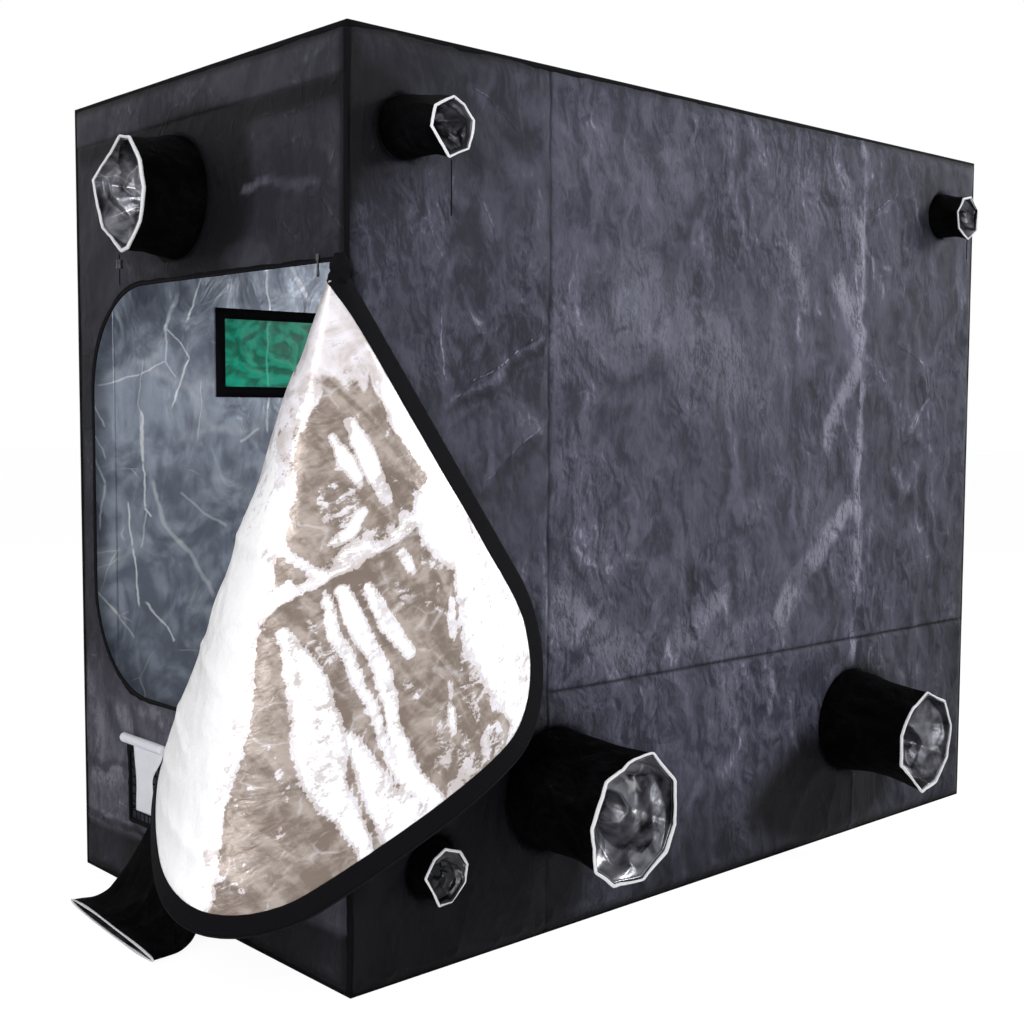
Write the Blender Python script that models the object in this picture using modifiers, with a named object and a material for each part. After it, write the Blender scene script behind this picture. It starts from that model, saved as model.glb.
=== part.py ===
# Indoor grow tent: a steel pole frame inside a zipped cloth shell with duct sleeves.
# Metres, +Z up. X runs along the tent, the open end door is at -X, the twin doors at +Y.
# The origin is the middle of the footprint, on the floor.

import math

import bmesh
import bpy
import numpy as np
from mathutils import Matrix, Vector

# Driving dimensions of the tent
tent_length = 2.4
tent_width = 1.2
tent_height = 2.0
cloth = 0.002
seat = 0.0003

# Poles and the connectors that join them
pole_radius = 0.0125
pole_wall = 0.001
pole_sides = 16
core_over_pole = 0.002
core_bevel = 0.003
spigot_length = 0.06
spigot_play = 0.0004

# Hanging bars, which slide along the top rails on rings
bar_radius = 0.008
bar_sides = 12
ring_play = 0.0005
ring_wall = 0.001
ring_length = 0.03
bar_from_middle = 0.6

# Tray that lines the floor
tray_cloth = 0.001
tray_height = 0.05
tray_clearance = 0.003

# End doorway, measured on the end wall
door_hinge_from_edge = 0.05
door_far_from_edge = 0.08
door_sill = 0.50
door_head_from_top = 0.47
door_corner = 0.27
arc_steps = 8

# End door flap, hanging from the top of its sewn side
flap_cloth = 0.0015
flap_above_sill = 0.04
flap_seam_outside = 0.006
flap_corner_clear = 0.010
flap_stand_out = 0.036
flap_root = 0.045
flap_columns = 36
flap_rows = 9
flap_angles_deg = (0, 9, 18, 27, 36, 46, 56, 67, 78, 90)
flap_lean_out_shares = (0, -0.037, -0.015, -0.127, -0.214, -0.239, -0.073, 0.148, 0.336, 0.547)
flap_lean_side_shares = (0, 0.128, 0.274, 0.353, 0.231, 0.041, -0.056, -0.134, -0.155, -0.082)
flap_wrap_deg = 46
flap_ripple = 0.006
flap_ripple_count = 9

# Zip sliders
slider_length = 0.016
slider_width = 0.011
slider_thick = 0.005
tab_length = 0.032
tab_width = 0.008
tab_thick = 0.002
tab_hole_radius = 0.0018
tab_steps = 8
end_slider_from_hinge = 0.05

# Twin doors in the front wall
front_door_from_end = 0.1
front_middle_strip = 0.16
front_door_sill = 0.14
front_door_from_top = 0.2
front_door_corner = 0.22
front_door_lap = 0.012
front_slider_height = 0.45

# Window in the left front door
window_from_end = 0.438
window_width = 0.324
window_from_top = 0.516
window_height = 0.196
window_lap = 0.02
window_film = 0.001
cover_border = 0.028
cover_thick = 0.0015

# Duct sleeves
sleeve_cloth = 0.0015
sleeve_columns = 20
sleeve_rings = 6
large_port_radius = 0.14
small_port_radius = 0.0625
floor_port_radius = 0.15

# Low vent in the end wall
vent_low_edge = 0.2
vent_width = 0.15
vent_sill = 0.177
vent_height = 0.178
vent_lap = 0.012
vent_net = 0.0012
vent_strand = 0.004
vent_columns = 7
vent_rows = 8
vent_roll_radius = 0.0125
vent_roll_length = 0.24
vent_roll_lift = 0.013
vent_roll_sides = 12
vent_strip = 0.0015
vent_strip_top = 0.10
vent_strip_waist = 0.07
vent_strip_foot = 0.085

# Drawstring tails and the cord lock
string_diameter = 0.003
string_pitch = 0.008
string_rim_inset = 0.002
lock_radius = 0.008
lock_waist = 0.0065
lock_length = 0.02
lock_play = 0.0006
lock_drop = 0.012
lock_sides = 14

# Worked out from the driving dimensions
half_length = tent_length / 2
half_width = tent_width / 2
core_half = pole_radius + core_over_pole
frame_inset = cloth + seat + core_half
pole_x = half_length - frame_inset
pole_y = half_width - frame_inset
pole_low = frame_inset
pole_high = tent_height - frame_inset
wall_low = cloth + seat
wall_high = tent_height - cloth - seat
door_width = tent_width - door_hinge_from_edge - door_far_from_edge
door_head = tent_height - door_head_from_top
flap_length = door_head - door_sill - flap_above_sill
front_door_width = half_length - front_door_from_end - front_middle_strip / 2
front_door_head = tent_height - front_door_from_top
window_top = tent_height - window_from_top
window_sill = window_top - window_height

for leftover in list(bpy.data.objects):
    bpy.data.objects.remove(leftover, do_unlink=True)

parts = bpy.data.collections.new("grow_tent")
bpy.context.scene.collection.children.link(parts)
cutters = bpy.data.collections.new("cutters")
bpy.context.scene.collection.children.link(cutters)


def finish(name, colour, roughness, metallic=0.0):
    material = bpy.data.materials.new(name)
    material.use_nodes = True
    shader = material.node_tree.nodes["Principled BSDF"]
    shader.inputs["Base Color"].default_value = (*colour, 1.0)
    shader.inputs["Roughness"].default_value = roughness
    shader.inputs["Metallic"].default_value = metallic
    material.diffuse_color = (*colour, 1.0)
    return material


black_cloth = finish("black_cloth", (0.035, 0.035, 0.045), 0.55)
silver_lining = finish("silver_lining", (0.78, 0.77, 0.78), 0.25, 0.8)
steel = finish("painted_steel", (0.75, 0.76, 0.77), 0.35, 0.6)
black_plastic = finish("black_plastic", (0.02, 0.02, 0.02), 0.4)
green_film = finish("green_film", (0.02, 0.42, 0.25), 0.2)
white_trim = finish("white_trim", (0.85, 0.85, 0.87), 0.5)
zip_metal = finish("zip_metal", (0.35, 0.35, 0.36), 0.3, 1.0)
tray_sheet = finish("tray_sheet", (0.06, 0.06, 0.07), 0.45)


def add_object(name, data, material, place=(0, 0, 0), turn=(0, 0, 0), collection=parts):
    thing = bpy.data.objects.new(name, data)
    if material is not None and not data.materials:
        data.materials.append(material)
    thing.location = place
    thing.rotation_euler = turn
    collection.objects.link(thing)
    return thing


def evaluated_mesh(thing):
    graph = bpy.context.evaluated_depsgraph_get()
    return bpy.data.meshes.new_from_object(thing.evaluated_get(graph))


def baked(thing, weld=0.00001):
    """The object's evaluated shape as a plain mesh with its caps welded, in its own axes."""
    bpy.context.view_layer.update()
    mesh = evaluated_mesh(thing)
    cells = bmesh.new()
    cells.from_mesh(mesh)
    bmesh.ops.remove_doubles(cells, verts=cells.verts, dist=weld)
    bmesh.ops.transform(cells, matrix=thing.matrix_world, verts=cells.verts)
    cells.to_mesh(mesh)
    cells.free()
    bpy.data.objects.remove(thing, do_unlink=True)
    return mesh


def helper(name, mesh):
    thing = bpy.data.objects.new(name, mesh)
    cutters.objects.link(thing)
    thing.hide_render = True
    thing.display_type = "WIRE"
    return thing


def joined(name, first, others):
    """One mesh from the first mesh with the others joined to it by Boolean unions."""
    base = helper(name, first)
    for mesh in others:
        modifier = base.modifiers.new("join", "BOOLEAN")
        modifier.operation = "UNION"
        modifier.solver = "EXACT"
        modifier.object = helper(name + "_piece", mesh)
    bpy.context.view_layer.update()
    result = evaluated_mesh(base)
    result.name = name
    for modifier in list(base.modifiers):
        bpy.data.objects.remove(modifier.object, do_unlink=True)
    bpy.data.objects.remove(base, do_unlink=True)
    return result


# Outlines for flat pieces, as points in the plane of the piece

def rectangle(left, low, right, high):
    return [(left, low), (right, low), (right, high), (left, high)]


def arc(centre, radius, start_deg, end_deg, steps):
    angles = np.radians(np.linspace(start_deg, end_deg, steps + 1))
    return [(centre[0] + radius * math.cos(a), centre[1] + radius * math.sin(a)) for a in angles]


def circle(centre, radius, steps):
    return arc(centre, radius, 0, 360 * (steps - 1) / steps, steps - 1)


def d_shape(hinge, far, low, high, corner):
    """A doorway outline: straight at the hinge side, round at the two far corners."""
    side = 1 if far > hinge else -1
    middle = far - side * corner
    lower = arc((middle, low + corner), corner, -90, 0, arc_steps)
    upper = arc((middle, high - corner), corner, 0, 90, arc_steps)
    bow = [(middle + side * (u - middle), v) for u, v in lower + upper]
    return [(hinge, low)] + bow + [(hinge, high)]


def flat_curve(name, outlines, thick):
    curve = bpy.data.curves.new(name, "CURVE")
    curve.dimensions = "2D"
    curve.fill_mode = "BOTH"
    curve.extrude = thick / 2
    for outline in outlines:
        spline = curve.splines.new("POLY")
        spline.points.add(len(outline) - 1)
        for point, (u, v) in zip(spline.points, outline):
            point.co = (u, v, 0, 1)
        spline.use_cyclic_u = True
    return curve


# Turns that stand a flat piece up: u is X or Y in the world, v is Z
flat_turn = (0, 0, 0)
along_x_turn = (math.pi / 2, 0, 0)
along_y_turn = (math.pi / 2, 0, math.pi / 2)


def sheet(name, outlines, thick, material, place, turn):
    return add_object(name, flat_curve(name, outlines, thick), material, place, turn)


# Steel frame

def open_tube(name, outer, wall, length, sides=pole_sides):
    """A tube along Z about its own middle, open at both ends."""
    mesh = bpy.data.meshes.new(name)
    cells = bmesh.new()
    bmesh.ops.create_cone(cells, cap_ends=False, segments=sides, radius1=outer, radius2=outer, depth=length)
    cells.to_mesh(mesh)
    cells.free()
    thing = helper(name, mesh)
    shell = thing.modifiers.new("wall", "SOLIDIFY")
    shell.thickness = wall
    shell.offset = -1
    shell.use_even_offset = True
    return baked(thing)


def rod(name, radius, length, sides=pole_sides):
    mesh = bpy.data.meshes.new(name)
    cells = bmesh.new()
    bmesh.ops.create_cone(
        cells, cap_ends=True, segments=sides, radius1=radius, radius2=radius, depth=length)
    cells.to_mesh(mesh)
    cells.free()
    return mesh


def moved(mesh, place=(0, 0, 0), axis=None):
    """Turns a mesh that runs along Z to run along the axis, then moves it."""
    matrix = Matrix.Translation(place)
    if axis is not None:
        matrix = matrix @ Vector((0, 0, 1)).rotation_difference(Vector(axis)).to_matrix().to_4x4()
    mesh.transform(matrix)
    return mesh


def connector_mesh(name, ways):
    """A bevelled core with a spigot along each way that a pole slides over."""
    mesh = bpy.data.meshes.new(name)
    cells = bmesh.new()
    bmesh.ops.create_cube(cells, size=2 * core_half)
    bmesh.ops.bevel(cells, geom=list(cells.edges), offset=core_bevel, segments=1, affect="EDGES")
    cells.to_mesh(mesh)
    cells.free()
    spigot_radius = pole_radius - pole_wall - spigot_play
    reach = core_half + spigot_length
    spigots = []
    for way in ways:
        spigot = rod(name + "_spigot", spigot_radius, reach)
        spigots.append(moved(spigot, tuple(reach / 2 * w for w in way), way))
    return joined(name, mesh, spigots)


corner_mesh = connector_mesh("corner_connector", [(1, 0, 0), (0, 1, 0), (0, 0, 1)])
tee_mesh = connector_mesh("tee_connector", [(1, 0, 0), (-1, 0, 0), (0, 0, 1)])
quarter = math.pi / 2
side_names = {-1: "back", 1: "front"}
end_names = {-1: "near", 1: "far"}
corner_turns = {(-1, -1): 0, (1, -1): 1, (1, 1): 2, (-1, 1): 3}
for (end, side), turns in corner_turns.items():
    label = f"{end_names[end]}_{side_names[side]}"
    spot = (end * pole_x, side * pole_y)
    add_object(f"corner_low_{label}", corner_mesh, black_plastic,
               (*spot, pole_low), (0, 0, turns * quarter))
    add_object(f"corner_high_{label}", corner_mesh, black_plastic,
               (*spot, pole_high), (math.pi, 0, (turns + 1) * quarter))
for side, side_name in side_names.items():
    spot = (0, side * pole_y)
    add_object(f"tee_low_{side_name}", tee_mesh, black_plastic, (*spot, pole_low))
    add_object(f"tee_high_{side_name}", tee_mesh, black_plastic, (*spot, pole_high), (math.pi, 0, 0))

core_reach = core_half + seat
upright_length = pole_high - pole_low - 2 * core_reach
long_rail_length = pole_x - 2 * core_reach
short_rail_length = 2 * pole_y - 2 * core_reach


def shared_pole(name, length, axis):
    return moved(open_tube(name, pole_radius, pole_wall, length), axis=axis)


upright_mesh = shared_pole("upright", upright_length, (0, 0, 1))
long_rail_mesh = shared_pole("long_rail", long_rail_length, (1, 0, 0))
short_rail_mesh = shared_pole("short_rail", short_rail_length, (0, 1, 0))
upright_middle = (pole_low + pole_high) / 2
levels = {"low": pole_low, "high": pole_high}
for side, side_name in side_names.items():
    for end, end_name in end_names.items():
        add_object(f"upright_{end_name}_{side_name}", upright_mesh, steel,
                   (end * pole_x, side * pole_y, upright_middle))
        for level, height in levels.items():
            add_object(f"rail_{level}_{end_name}_{side_name}", long_rail_mesh, steel,
                       (end * pole_x / 2, side * pole_y, height))
    add_object(f"upright_middle_{side_name}", upright_mesh, steel, (0, side * pole_y, upright_middle))
for end, end_name in end_names.items():
    for level, height in levels.items():
        add_object(f"cross_rail_{level}_{end_name}", short_rail_mesh, steel, (end * pole_x, 0, height))

# Hanging bars, each with a ring round the two top rails
ring_bore = pole_radius + ring_play
rings = [moved(open_tube("ring", ring_bore + ring_wall, ring_wall, ring_length),
               (0, side * pole_y, 0), (1, 0, 0)) for side in side_names]
bar_length = 2 * (pole_y - ring_bore - ring_wall / 2)
bar_rod = moved(rod("bar", bar_radius, bar_length, bar_sides), axis=(0, 1, 0))
bar_mesh = joined("hanging_bar", bar_rod, rings)
for end, end_name in end_names.items():
    add_object(f"hanging_bar_{end_name}", bar_mesh, steel, (end * bar_from_middle, 0, pole_high))

# Duct sleeves: on the end wall or the back wall, how far from an edge of it (side says which),
# how far from the top or the floor, how far each stands out, and how it sags
back_face = -half_width
end_face = -half_length
sleeves = {
    "sleeve_end_high": {
        "end": True, "side": 1, "from_edge": 0.52, "from_top": 0.28,
        "radius": large_port_radius, "out": 0.15, "sag": 0.005, "pleats": 10},
    "sleeve_back_high_near": {
        "end": False, "side": -1, "from_edge": 0.14, "from_top": 0.194,
        "radius": small_port_radius, "out": 0.158, "sag": 0.02, "pleats": 5},
    "sleeve_back_high_far": {
        "end": False, "side": 1, "from_edge": 0.19, "from_top": 0.18,
        "radius": small_port_radius, "out": 0.095, "sag": 0.012, "pleats": 5},
    "sleeve_back_low_near": {
        "end": False, "side": -1, "from_edge": 0.58, "from_floor": 0.345,
        "radius": large_port_radius, "out": 0.262, "sag": 0.02, "pleats": 10},
    "sleeve_back_low_far": {
        "end": False, "side": 1, "from_edge": 0.62, "from_floor": 0.335,
        "radius": large_port_radius, "out": 0.26, "sag": 0.02, "pleats": 10},
    "sleeve_back_cable": {
        "end": False, "side": -1, "from_edge": 0.214, "from_floor": 0.235,
        "radius": small_port_radius, "out": 0.057, "sag": 0.008, "pleats": 5},
}
for spec in sleeves.values():
    reach = half_width if spec["end"] else half_length
    height = tent_height - spec["from_top"] if "from_top" in spec else spec["from_floor"]
    spec["at"] = (spec["side"] * (reach - spec["from_edge"]), height)
floor_sleeve = {"at": (0.03, 0.192), "out": 0.2, "flat_half": 0.23, "mouth_half": 0.013,
                "drift": 0.045, "floor_gap": 0.0005}
pleat_depth_share = 0.03
neck_depth_share = 0.05
straight_share = 0.08


def tube_skin(name, rings_of_points):
    """A closed cloth tube from rings of points, its wall thickness laid inside them."""
    rings_of_points = np.asarray(rings_of_points)
    rows, columns, _ = rings_of_points.shape
    index = np.arange(rows * columns).reshape(rows, columns)
    beside = np.roll(index, -1, axis=1)
    faces = np.stack([index[:-1], beside[:-1], beside[1:], index[1:]], axis=-1).reshape(-1, 4)
    mesh = bpy.data.meshes.new(name)
    mesh.from_pydata(rings_of_points.reshape(-1, 3).tolist(), [], faces.tolist())
    thing = add_object(name, mesh, black_cloth)
    shell = thing.modifiers.new("cloth", "SOLIDIFY")
    shell.thickness = sleeve_cloth
    shell.offset = -1
    mesh.shade_smooth()
    return thing


def wall_frame(end):
    """Outward, sideways and upward directions of the end wall or the back wall."""
    if end:
        return np.array((-1.0, 0, 0)), np.array((0, -1.0, 0)), np.array((0, 0, 1.0))
    return np.array((0, -1.0, 0)), np.array((1.0, 0, 0)), np.array((0, 0, 1.0))


def sleeve_root(spec, end):
    if end:
        return np.array((end_face - seat, spec["at"][0], spec["at"][1]))
    return np.array((spec["at"][0], back_face - seat, spec["at"][1]))


def ring_steps():
    """Shares of the way out: a short straight root, then even steps."""
    return np.concatenate([[0.0], np.linspace(straight_share, 1.0, sleeve_rings)])


def sleeve_ring(spec, share, turns):
    """Points round a sleeve at a share of its way out: it sags, narrows at the neck and pleats."""
    outward, sideways, upward = wall_frame(spec["end"])
    free = max(share - straight_share, 0) / (1 - straight_share)
    centre = sleeve_root(spec, spec["end"]) + outward * spec["out"] * share
    centre -= upward * spec["sag"] * free ** 2
    neck = 1 - neck_depth_share * math.sin(math.pi * free) ** 2
    pleat = 1 + pleat_depth_share * free * np.cos(spec["pleats"] * turns)
    radius = (spec["radius"] + sleeve_cloth) * neck * pleat
    return centre + np.outer(radius * np.cos(turns), sideways) + np.outer(radius * np.sin(turns), upward)


turns_round = 2 * math.pi * np.arange(sleeve_columns) / sleeve_columns
for name, spec in sleeves.items():
    tube_skin(name, [sleeve_ring(spec, share, turns_round) for share in ring_steps()])

# The low end sleeve lies collapsed on the floor: a round root that flattens into a wide slot
outward, sideways, upward = wall_frame(True)
root = sleeve_root(floor_sleeve, True)
root_radius = floor_port_radius + sleeve_cloth
skin = []
for share in ring_steps():
    free = max(share - straight_share, 0) / (1 - straight_share)
    ease = math.sin(free * math.pi / 2)
    half_wide = root_radius + (floor_sleeve["flat_half"] - root_radius) * ease
    half_high = root_radius + (floor_sleeve["mouth_half"] - root_radius) * ease
    low = root[2] - root_radius
    low = low + (floor_sleeve["floor_gap"] - low) * min(2 * free, 1)
    centre = root + outward * floor_sleeve["out"] * share - sideways * floor_sleeve["drift"] * ease
    centre[2] = low + half_high
    skin.append(centre + np.outer(half_wide * np.cos(turns_round), sideways)
                + np.outer(half_high * np.sin(turns_round), upward))
tube_skin("sleeve_end_floor", skin)

# Cloth shell
door_hinge = -half_width + door_hinge_from_edge
door_far = door_hinge + door_width
vent_left = vent_low_edge
vent_right = vent_low_edge + vent_width
vent_top = vent_sill + vent_height
end_half = half_width - cloth - seat
port_steps = 24


def wall_ports(end):
    return [circle(spec["at"], spec["radius"], port_steps)
            for spec in sleeves.values() if spec["end"] == end]


end_holes = wall_ports(True) + [
    circle(floor_sleeve["at"], floor_port_radius, port_steps),
    d_shape(door_hinge, door_far, door_sill, door_head, door_corner),
    rectangle(vent_left, vent_sill, vent_right, vent_top),
]
sheet("end_wall", [rectangle(-end_half, wall_low, end_half, wall_high)] + end_holes, cloth,
      black_cloth, (end_face + cloth / 2, 0, 0), along_y_turn)
sheet("far_end_wall", [rectangle(-end_half, wall_low, end_half, wall_high)], cloth,
      black_cloth, (half_length - cloth / 2, 0, 0), along_y_turn)
sheet("back_wall", [rectangle(-half_length, wall_low, half_length, wall_high)] + wall_ports(False),
      cloth, black_cloth, (0, back_face + cloth / 2, 0), along_x_turn)

front_holes = []
front_leaves = {}
for end, end_name in end_names.items():
    hinge = end * (half_length - front_door_from_end)
    free_edge = hinge - end * front_door_width
    front_holes.append(d_shape(hinge, free_edge, front_door_sill, front_door_head, front_door_corner))
    front_leaves[end_name] = d_shape(
        hinge + end * front_door_lap, free_edge - end * front_door_lap,
        front_door_sill - front_door_lap, front_door_head + front_door_lap,
        front_door_corner + front_door_lap)
sheet("front_wall", [rectangle(-half_length, wall_low, half_length, wall_high)] + front_holes,
      cloth, black_cloth, (0, half_width - cloth / 2, 0), along_x_turn)
sheet("roof_panel", [rectangle(-half_length, -half_width, half_length, half_width)], cloth,
      black_cloth, (0, 0, tent_height - cloth / 2), flat_turn)
sheet("floor_panel", [rectangle(-half_length, -half_width, half_length, half_width)], cloth,
      black_cloth, (0, 0, cloth / 2), flat_turn)

# Spill tray: an open box of sheet inside the bottom rails
tray_x = pole_x - core_half - tray_clearance
tray_y = pole_y - core_half - tray_clearance
tray_low = cloth + seat
mesh = bpy.data.meshes.new("spill_tray")
cells = bmesh.new()
bmesh.ops.create_cube(cells, size=1)
bmesh.ops.scale(cells, vec=(2 * tray_x, 2 * tray_y, tray_height), verts=cells.verts)
bmesh.ops.translate(cells, vec=(0, 0, tray_low + tray_height / 2), verts=cells.verts)
top_faces = [face for face in cells.faces if face.normal.z > 0.5]
bmesh.ops.delete(cells, geom=top_faces, context="FACES_ONLY")
cells.to_mesh(mesh)
cells.free()
tray = add_object("spill_tray", mesh, tray_sheet)
shell = tray.modifiers.new("sheet", "SOLIDIFY")
shell.thickness = tray_cloth
shell.offset = -1
shell.use_even_offset = True

# End door flap: a cone of cloth from its top corner. Each ray of the panel, at an angle
# from the sewn side, leans out from the wall and sideways by a share of its length.

def smooth_through(knots, values, where):
    """A natural cubic spline through the values."""
    knots = np.asarray(knots, float)
    values = np.asarray(values, float)
    gaps = np.diff(knots)
    count = len(knots)
    matrix = np.eye(count)
    slopes = np.zeros(count)
    for i in range(1, count - 1):
        matrix[i, i - 1:i + 2] = (gaps[i - 1], 2 * (gaps[i - 1] + gaps[i]), gaps[i])
        slope_before = (values[i] - values[i - 1]) / gaps[i - 1]
        slope_after = (values[i + 1] - values[i]) / gaps[i]
        slopes[i] = 6 * (slope_after - slope_before)
    bends = np.linalg.solve(matrix, slopes)
    cell = np.clip(np.searchsorted(knots, where, side="right") - 1, 0, count - 2)
    gap = gaps[cell]
    left = (where - knots[cell]) / gap
    right = 1 - left
    bow = (right ** 3 - right) * bends[cell] + (left ** 3 - left) * bends[cell + 1]
    return right * values[cell] + left * values[cell + 1] + gap ** 2 * bow / 6


nearly_zero = 1e-9


def panel_reach(angles):
    """Distance from the top corner of the door panel to its outline along each angle."""
    across = np.sin(angles)
    down = np.cos(angles)
    reach = np.minimum(door_width / np.maximum(across, nearly_zero),
                       flap_length / np.maximum(down, nearly_zero))
    middle = door_width - door_corner
    for height, low_corner in ((door_corner, False), (flap_length - door_corner, True)):
        along = across * middle + down * height
        inside = along ** 2 - (middle ** 2 + height ** 2 - door_corner ** 2)
        far = along + np.sqrt(np.maximum(inside, 0))
        past_side = far * across > middle - nearly_zero
        past_end = far * down > height if low_corner else far * down < height
        reach = np.where((inside > -nearly_zero) & past_side & past_end, np.minimum(reach, far), reach)
    return reach


flap_hinge_x = end_face - seat - flap_cloth / 2
flap_top = np.array((flap_hinge_x - flap_stand_out, back_face - flap_corner_clear, door_head))
flap_seam = door_hinge - flap_seam_outside - flap_top[1]
angles_deg = np.linspace(0, 90, flap_columns + 1)
angles = np.radians(angles_deg)
lean_out = smooth_through(flap_angles_deg, flap_lean_out_shares, angles_deg)
lean_side = smooth_through(flap_angles_deg, flap_lean_side_shares, angles_deg)
rays = np.stack([lean_out, lean_side, -np.sqrt(1 - lean_out ** 2 - lean_side ** 2)], axis=-1)
wrap = np.clip(1 - angles_deg / flap_wrap_deg, 0, 1)
wrap = wrap ** 2 * (3 - 2 * wrap)
row_shares = np.linspace(0, 1, flap_rows + 1)
lengths = flap_root + row_shares[:, None] * (panel_reach(angles) - flap_root)
points = flap_top + rays * lengths[..., None]
# The sewn side lies on the wall, and the rest stands out from it at the corner of the tent
points[..., 0] += flap_stand_out * wrap
points[..., 1] += flap_seam * wrap
# Small folds run down from the corner, and die out at the sewn side and at the free top edge
fold_side = np.stack([-np.gradient(rays[:, 1]), np.gradient(rays[:, 0]), np.zeros(len(angles))], axis=-1)
fold_side /= np.linalg.norm(fold_side, axis=1, keepdims=True)
fold = flap_ripple * np.sin(flap_ripple_count * 2 * angles) * np.sin(2 * angles) ** 2
points += fold_side * (fold * row_shares[:, None] ** 2)[..., None]

rows, columns, _ = points.shape
index = np.arange(rows * columns).reshape(rows, columns)
quads = np.stack([index[:-1, :-1], index[1:, :-1], index[1:, 1:], index[:-1, 1:]], axis=-1).reshape(-1, 4)
hinge_point = (flap_hinge_x, door_hinge - flap_seam_outside, 0)
points -= np.array(hinge_point)
mesh = bpy.data.meshes.new("end_door_flap")
mesh.from_pydata(points.reshape(-1, 3).tolist(), [], quads.tolist())
flap = add_object("end_door_flap", mesh, silver_lining, hinge_point)
shell = flap.modifiers.new("cloth", "SOLIDIFY")
shell.thickness = flap_cloth
shell.offset = 0
mesh.shade_smooth()

# Zip sliders: a tapered body with a pull tab hanging from it
shoulder_share = 0.7
nose_share = 0.45
body_outline = [
    (-slider_width / 2 * nose_share, 0), (slider_width / 2 * nose_share, 0),
    (slider_width / 2, slider_length * (1 - shoulder_share)), (slider_width / 2, slider_length),
    (-slider_width / 2, slider_length), (-slider_width / 2, slider_length * (1 - shoulder_share))]
tab_lap = slider_length / 2
tab_end = tab_width / 2
tab_foot = (0, tab_end - tab_length)
tab_outline = [(tab_width / 2 * nose_share, tab_lap)] + arc(tab_foot, tab_end, 0, -180, tab_steps) + [
    (-tab_width / 2 * nose_share, tab_lap)]
tab_hole = circle(tab_foot, tab_hole_radius, tab_steps)
tab_place = (0, 0, slider_thick / 2 - tab_thick)
slider_body = add_object("body", flat_curve("body", [body_outline], slider_thick), zip_metal)
slider_tab = add_object("tab", flat_curve("tab", [tab_outline, tab_hole], tab_thick), zip_metal, tab_place)
slider_mesh = joined("zip_slider", baked(slider_body), [baked(slider_tab)])
slider_mesh.materials.clear()
slider_stand = seat + slider_thick / 2
add_object("end_door_slider", slider_mesh, zip_metal,
           (end_face - slider_stand, door_hinge + end_slider_from_hinge, door_head + seat),
           (math.pi / 2, 0, -math.pi / 2))
front_free_edge = half_length - front_door_from_end - front_door_width
slider_from_leaf = slider_width / 2 + seat
for end, end_name in end_names.items():
    place_x = end * (front_free_edge - front_door_lap - slider_from_leaf)
    add_object(f"front_slider_{end_name}", slider_mesh, zip_metal,
               (place_x, half_width + slider_stand, front_slider_height), (math.pi / 2, 0, math.pi))

# Twin front doors, the near one with a window
leaf_place = half_width + seat + cloth / 2
window_left = -half_length + window_from_end
window_hole = rectangle(window_left, window_sill, window_left + window_width, window_top)
for end, end_name in end_names.items():
    hinge_x = end * (half_length - front_door_from_end + front_door_lap)
    outlines = [front_leaves[end_name]] + ([window_hole] if end < 0 else [])
    outlines = [[(u - hinge_x, v) for u, v in outline] for outline in outlines]
    sheet(f"front_door_{end_name}", outlines, cloth, black_cloth, (hinge_x, leaf_place, 0), along_x_turn)
film_outline = rectangle(window_left - window_lap, window_sill - window_lap,
                         window_left + window_width + window_lap, window_top + window_lap)
sheet("window_film", [film_outline], window_film, green_film,
      (0, leaf_place - cloth / 2 - seat - window_film / 2, 0), along_x_turn)

# Window cover, let down: it hangs from the lower edge of the window
cover_hinge = (window_left + window_width / 2, leaf_place + cloth / 2 + seat + cover_thick / 2,
               window_sill - cover_border)
cover_half = window_width / 2 + cover_border
cover_drop = window_height + 2 * cover_border
sheet("window_cover", [rectangle(-cover_half, -cover_drop, cover_half, 0)], cover_thick,
      black_cloth, cover_hinge, along_x_turn)

# Low vent: a net behind the hole, and its cover rolled up above it with a strip hanging
net_outline = rectangle(vent_left - vent_lap, vent_sill - vent_lap,
                        vent_right + vent_lap, vent_top + vent_lap)
cell_wide = (vent_width - vent_strand) / vent_columns
cell_high = (vent_height - vent_strand) / vent_rows
net_holes = []
for column in range(vent_columns):
    for row in range(vent_rows):
        left = vent_left + vent_strand + column * cell_wide
        low = vent_sill + vent_strand + row * cell_high
        right = left + cell_wide - vent_strand
        high = low + cell_high - vent_strand
        net_holes.append(rectangle(left, low, right, high))
sheet("vent_net", [net_outline] + net_holes, vent_net, black_plastic,
      (end_face + cloth + seat + vent_net / 2, 0, 0), along_y_turn)
vent_middle = (vent_left + vent_right) / 2
roll_height = vent_top + vent_roll_lift + vent_roll_radius
roll_out = seat + vent_roll_radius
roll = moved(rod("roll", vent_roll_radius, vent_roll_length, vent_roll_sides), (0, 0, 0), (0, 1, 0))
strip_drop = roll_height - vent_sill
strip_outline = [
    (-vent_strip_top / 2, 0), (vent_strip_top / 2, 0), (vent_strip_waist / 2, -strip_drop / 2),
    (vent_strip_foot / 2, -strip_drop), (-vent_strip_foot / 2, -strip_drop),
    (-vent_strip_waist / 2, -strip_drop / 2)]
strip = baked(add_object("strip", flat_curve("strip", [strip_outline[::-1]], vent_strip), white_trim,
                         (vent_roll_radius / 2, 0, 0), along_y_turn))
roll_mesh = joined("vent_cover", roll, [strip])
roll_mesh.materials.clear()
add_object("vent_cover", roll_mesh, white_trim, (end_face - roll_out, vent_middle, roll_height))

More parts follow.
